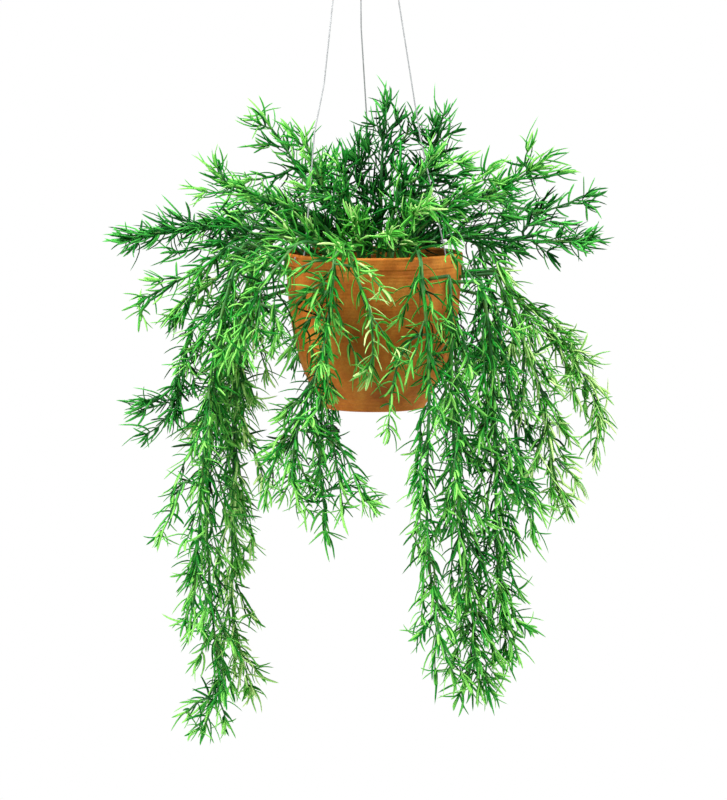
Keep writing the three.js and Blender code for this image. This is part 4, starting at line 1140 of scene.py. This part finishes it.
def kept_in_room(needles):
    """Shortens each needle to a share of its length that stays out of the pot and in the coarse
    model's room, or drops it."""
    fits = np.zeros(len(needles["length"]))
    for share in (0.45, 0.7, 1.0):
        u = np.array((0.5, 1.0))[:, None, None] * share
        reach = needles["length"][:, None]
        points = needles["root"] + reach * (needles["heading"] * u + needles["bend"] * u**2)
        fits = np.where((off_pot(points, NEEDLE_OFF_POT) & in_room(points, 0)).all(0), share, fits)
    kept = fits > 0
    needles = {part: values[kept] for part, values in needles.items()}
    needles["length"] = needles["length"] * fits[kept]
    return needles


def joined(groups):
    """Several groups of needles as one."""
    return {part: np.concatenate([group[part] for group in groups]) for part in groups[0]}


print("a needle has", sum(len(part) for part in NEEDLE_FACES), "faces")

# %% [markdown]
# ## Finishes of needles and stems
# The needles are polyethylene, dyed in the mass and moulded: a soft sheen, deep green at the root and
# paler and yellower at the tip and on young growth. The three tones of the record are three finishes
# of one kind. Each reads three numbers that the mesh carries at its points: a chance shade for each
# needle, with a painted highlight on its face and painted shade on its edges and back, the place along
# it, and how near it is to the end of its twig. Near the heart of the plant every tone is darkened by
# painted shade, where the plant shades itself.

# %% Needle and stem finishes
# Painted shade: needles near the middle of the upright stems are darkened, where the plant shades itself.
HEART = metres((5, 20, 38))  # the middle of the upright stems
HEART_SHADE_REACH = (0.03, 0.1)  # metres from there, from darkest to the plain colour


def needle_finish(name, deep, middle, pale):
    """Moulded needles, from three hex colours: chance shade with its painted highlight and shade, place
    along the needle, youth, a slow noise and painted shade near the plant's heart are weighed and added
    to one number, which runs through them."""
    material, tree, shader, _ = finish_named(name, 0.45, **{"IOR": 1.5, "Specular IOR Level": 0.1})
    shade, along, youth = (node(tree, "Attribute", attribute_name=label).outputs["Fac"]
                           for label in ("shade", "along", "youth"))
    space = node(tree, "TexCoord").outputs["Object"]
    mottle = node(tree, "TexNoise", {"Vector": space, "Scale": 60.0, "Detail": 2.0}).outputs["Fac"]
    from_heart = node(tree, "VectorMath", {0: space, 1: tuple(HEART)}, operation="DISTANCE")
    # Painted shade, darkest at the plant's heart.
    painted_heart_shade = node(tree, "MapRange", {"Value": from_heart.outputs["Value"], "From Min": HEART_SHADE_REACH[0],
                                     "From Max": HEART_SHADE_REACH[1], "To Min": -0.24, "To Max": 0.0})
    total = 0.0
    for value, share in ((shade, 0.5), (along, 0.16), (youth, 0.4), (mottle, 0.25),
                         (painted_heart_shade.outputs["Result"], 1.0)):
        total = node(tree, "Math", {0: value, 1: share, 2: total}, operation="MULTIPLY_ADD").outputs[0]
    tree.links.new(ramp(tree, total, [(0.25, deep), (0.62, middle), (1.0, pale)]),
                   shader.inputs["Base Color"])
    return material


needle_finishes = {
    "dark": needle_finish("moulded_needles_deep_green", "#011b04", "#0e6a20", "#54c04e"),
    "green": needle_finish("moulded_needles_green", "#032f07", "#1f962c", "#94e468"),
    "light": needle_finish("moulded_needles_young_green", "#084c0c", "#4cb336", "#d2f79c"),
}
stem_finish, *_ = mottled("moulded_stems_grey_green", 0.5, 50.0, 4.0,
                          [(0.3, "#0f4a18"), (0.5, "#2a7a30"), (0.7, "#5a8a36")])
print(len(needle_finishes), "tones of needle")

# %% Leafy stems
STEM_WHORLS = 12  # mm between the whorls of needles of a stem
SHOOT_WHORLS = 9.5
STEM_NEEDLE = 21.3  # mm from root to end of the longest needle, before it is bent
SHOOT_NEEDLE = 19.8
NEEDLE_SEED = 9000
STEM_TIP = 0.7  # mm, a radius, as those that follow
SHOOT_FOOT = 0.85
SIDE_STEM_FOOT = 1.3
SHOOT_TIP = 0.5
SWELL = 1.2  # times a twig's radius, where a whorl stands
SWELL_LENGTH = 2.2  # mm before the whorl in which it swells
RING_GAP = 0.2  # mm, and rings closer than that are made one


def swollen(end, places, foot, tip):
    """Places for the rings of a twig and its radius there: an even taper, swollen by a fifth where
    needles stand, as each whorl grows from a joint."""
    s = np.concatenate([[0], np.sort(np.concatenate([places - SWELL_LENGTH, places])), [end]])
    s = np.maximum.accumulate(np.clip(s, 0, end))
    s = s[np.concatenate([[True], np.diff(s) > RING_GAP])]
    joint = np.abs(s[:, None] - places).min(1) < RING_GAP / 2
    return s, (foot + (tip - foot) * s / end) * np.where(joint, SWELL, 1.0)


total_needles = 0
for index, stem in enumerate(stems):
    rng = np.random.default_rng(NEEDLE_SEED + index)
    way, line, end = stem["way"], stem["line"], stem["end"] - TIP_REST
    spray = Shape()
    places = evenly(ROOT_DEPTH + stem["leafy_from"], end - 5, STEM_WHORLS)
    s, radius = swollen(end, places, way["foot"], STEM_TIP)
    tube(spray, metres(place(line, s)[0]), radius / 1000, 8, slot=1, pointed=True)
    groups = leafy(line, places, end, 3, STEM_NEEDLE, rng)
    for shoot in stem["twigs"]:
        twig, end = shoot["line"], shoot["end"]
        foot, each = (SIDE_STEM_FOOT, 3) if "is_side_stem" in shoot else (SHOOT_FOOT, 2)
        places = evenly(7, end - 4, SHOOT_WHORLS)
        s, radius = swollen(end, places, foot, SHOOT_TIP)
        tube(spray, metres(place(twig, s)[0]), radius / 1000, 5, slot=1, pointed=True)
        groups += leafy(twig, places, end, each, SHOOT_NEEDLE, rng)
    needles = joined(groups)
    total_needles += len(needles["length"])
    add_needles(spray, 0, needles)
    made = spray.piece(stem["name"] + "_spray", [needle_finishes[stem["tone"]], stem_finish])
    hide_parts(stem["name"])
print(total_needles, "needles")

# %% [markdown]
# ## Sizes and the end
# The dressed plant must be as large as the frame it was built on. Both boxes are printed, the frame's
# at the start and the plant's here, and the last line prints how many triangles the shown pieces have.

# %% Print the plant's size and its triangles
low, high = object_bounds()
{"cad": [list(cad_low), list(cad_high)], "visual": [list(low), list(high)]}
print("visual box, in metres:", [round(x, 4) for x in (*low, *high)])
shown = [o for o in bpy.data.objects if o.type == "MESH" and not o.hide_render and o != floor]
triangles = sum(sum(len(f.vertices) - 2 for f in o.data.polygons) for o in shown)
print("triangles:", triangles)
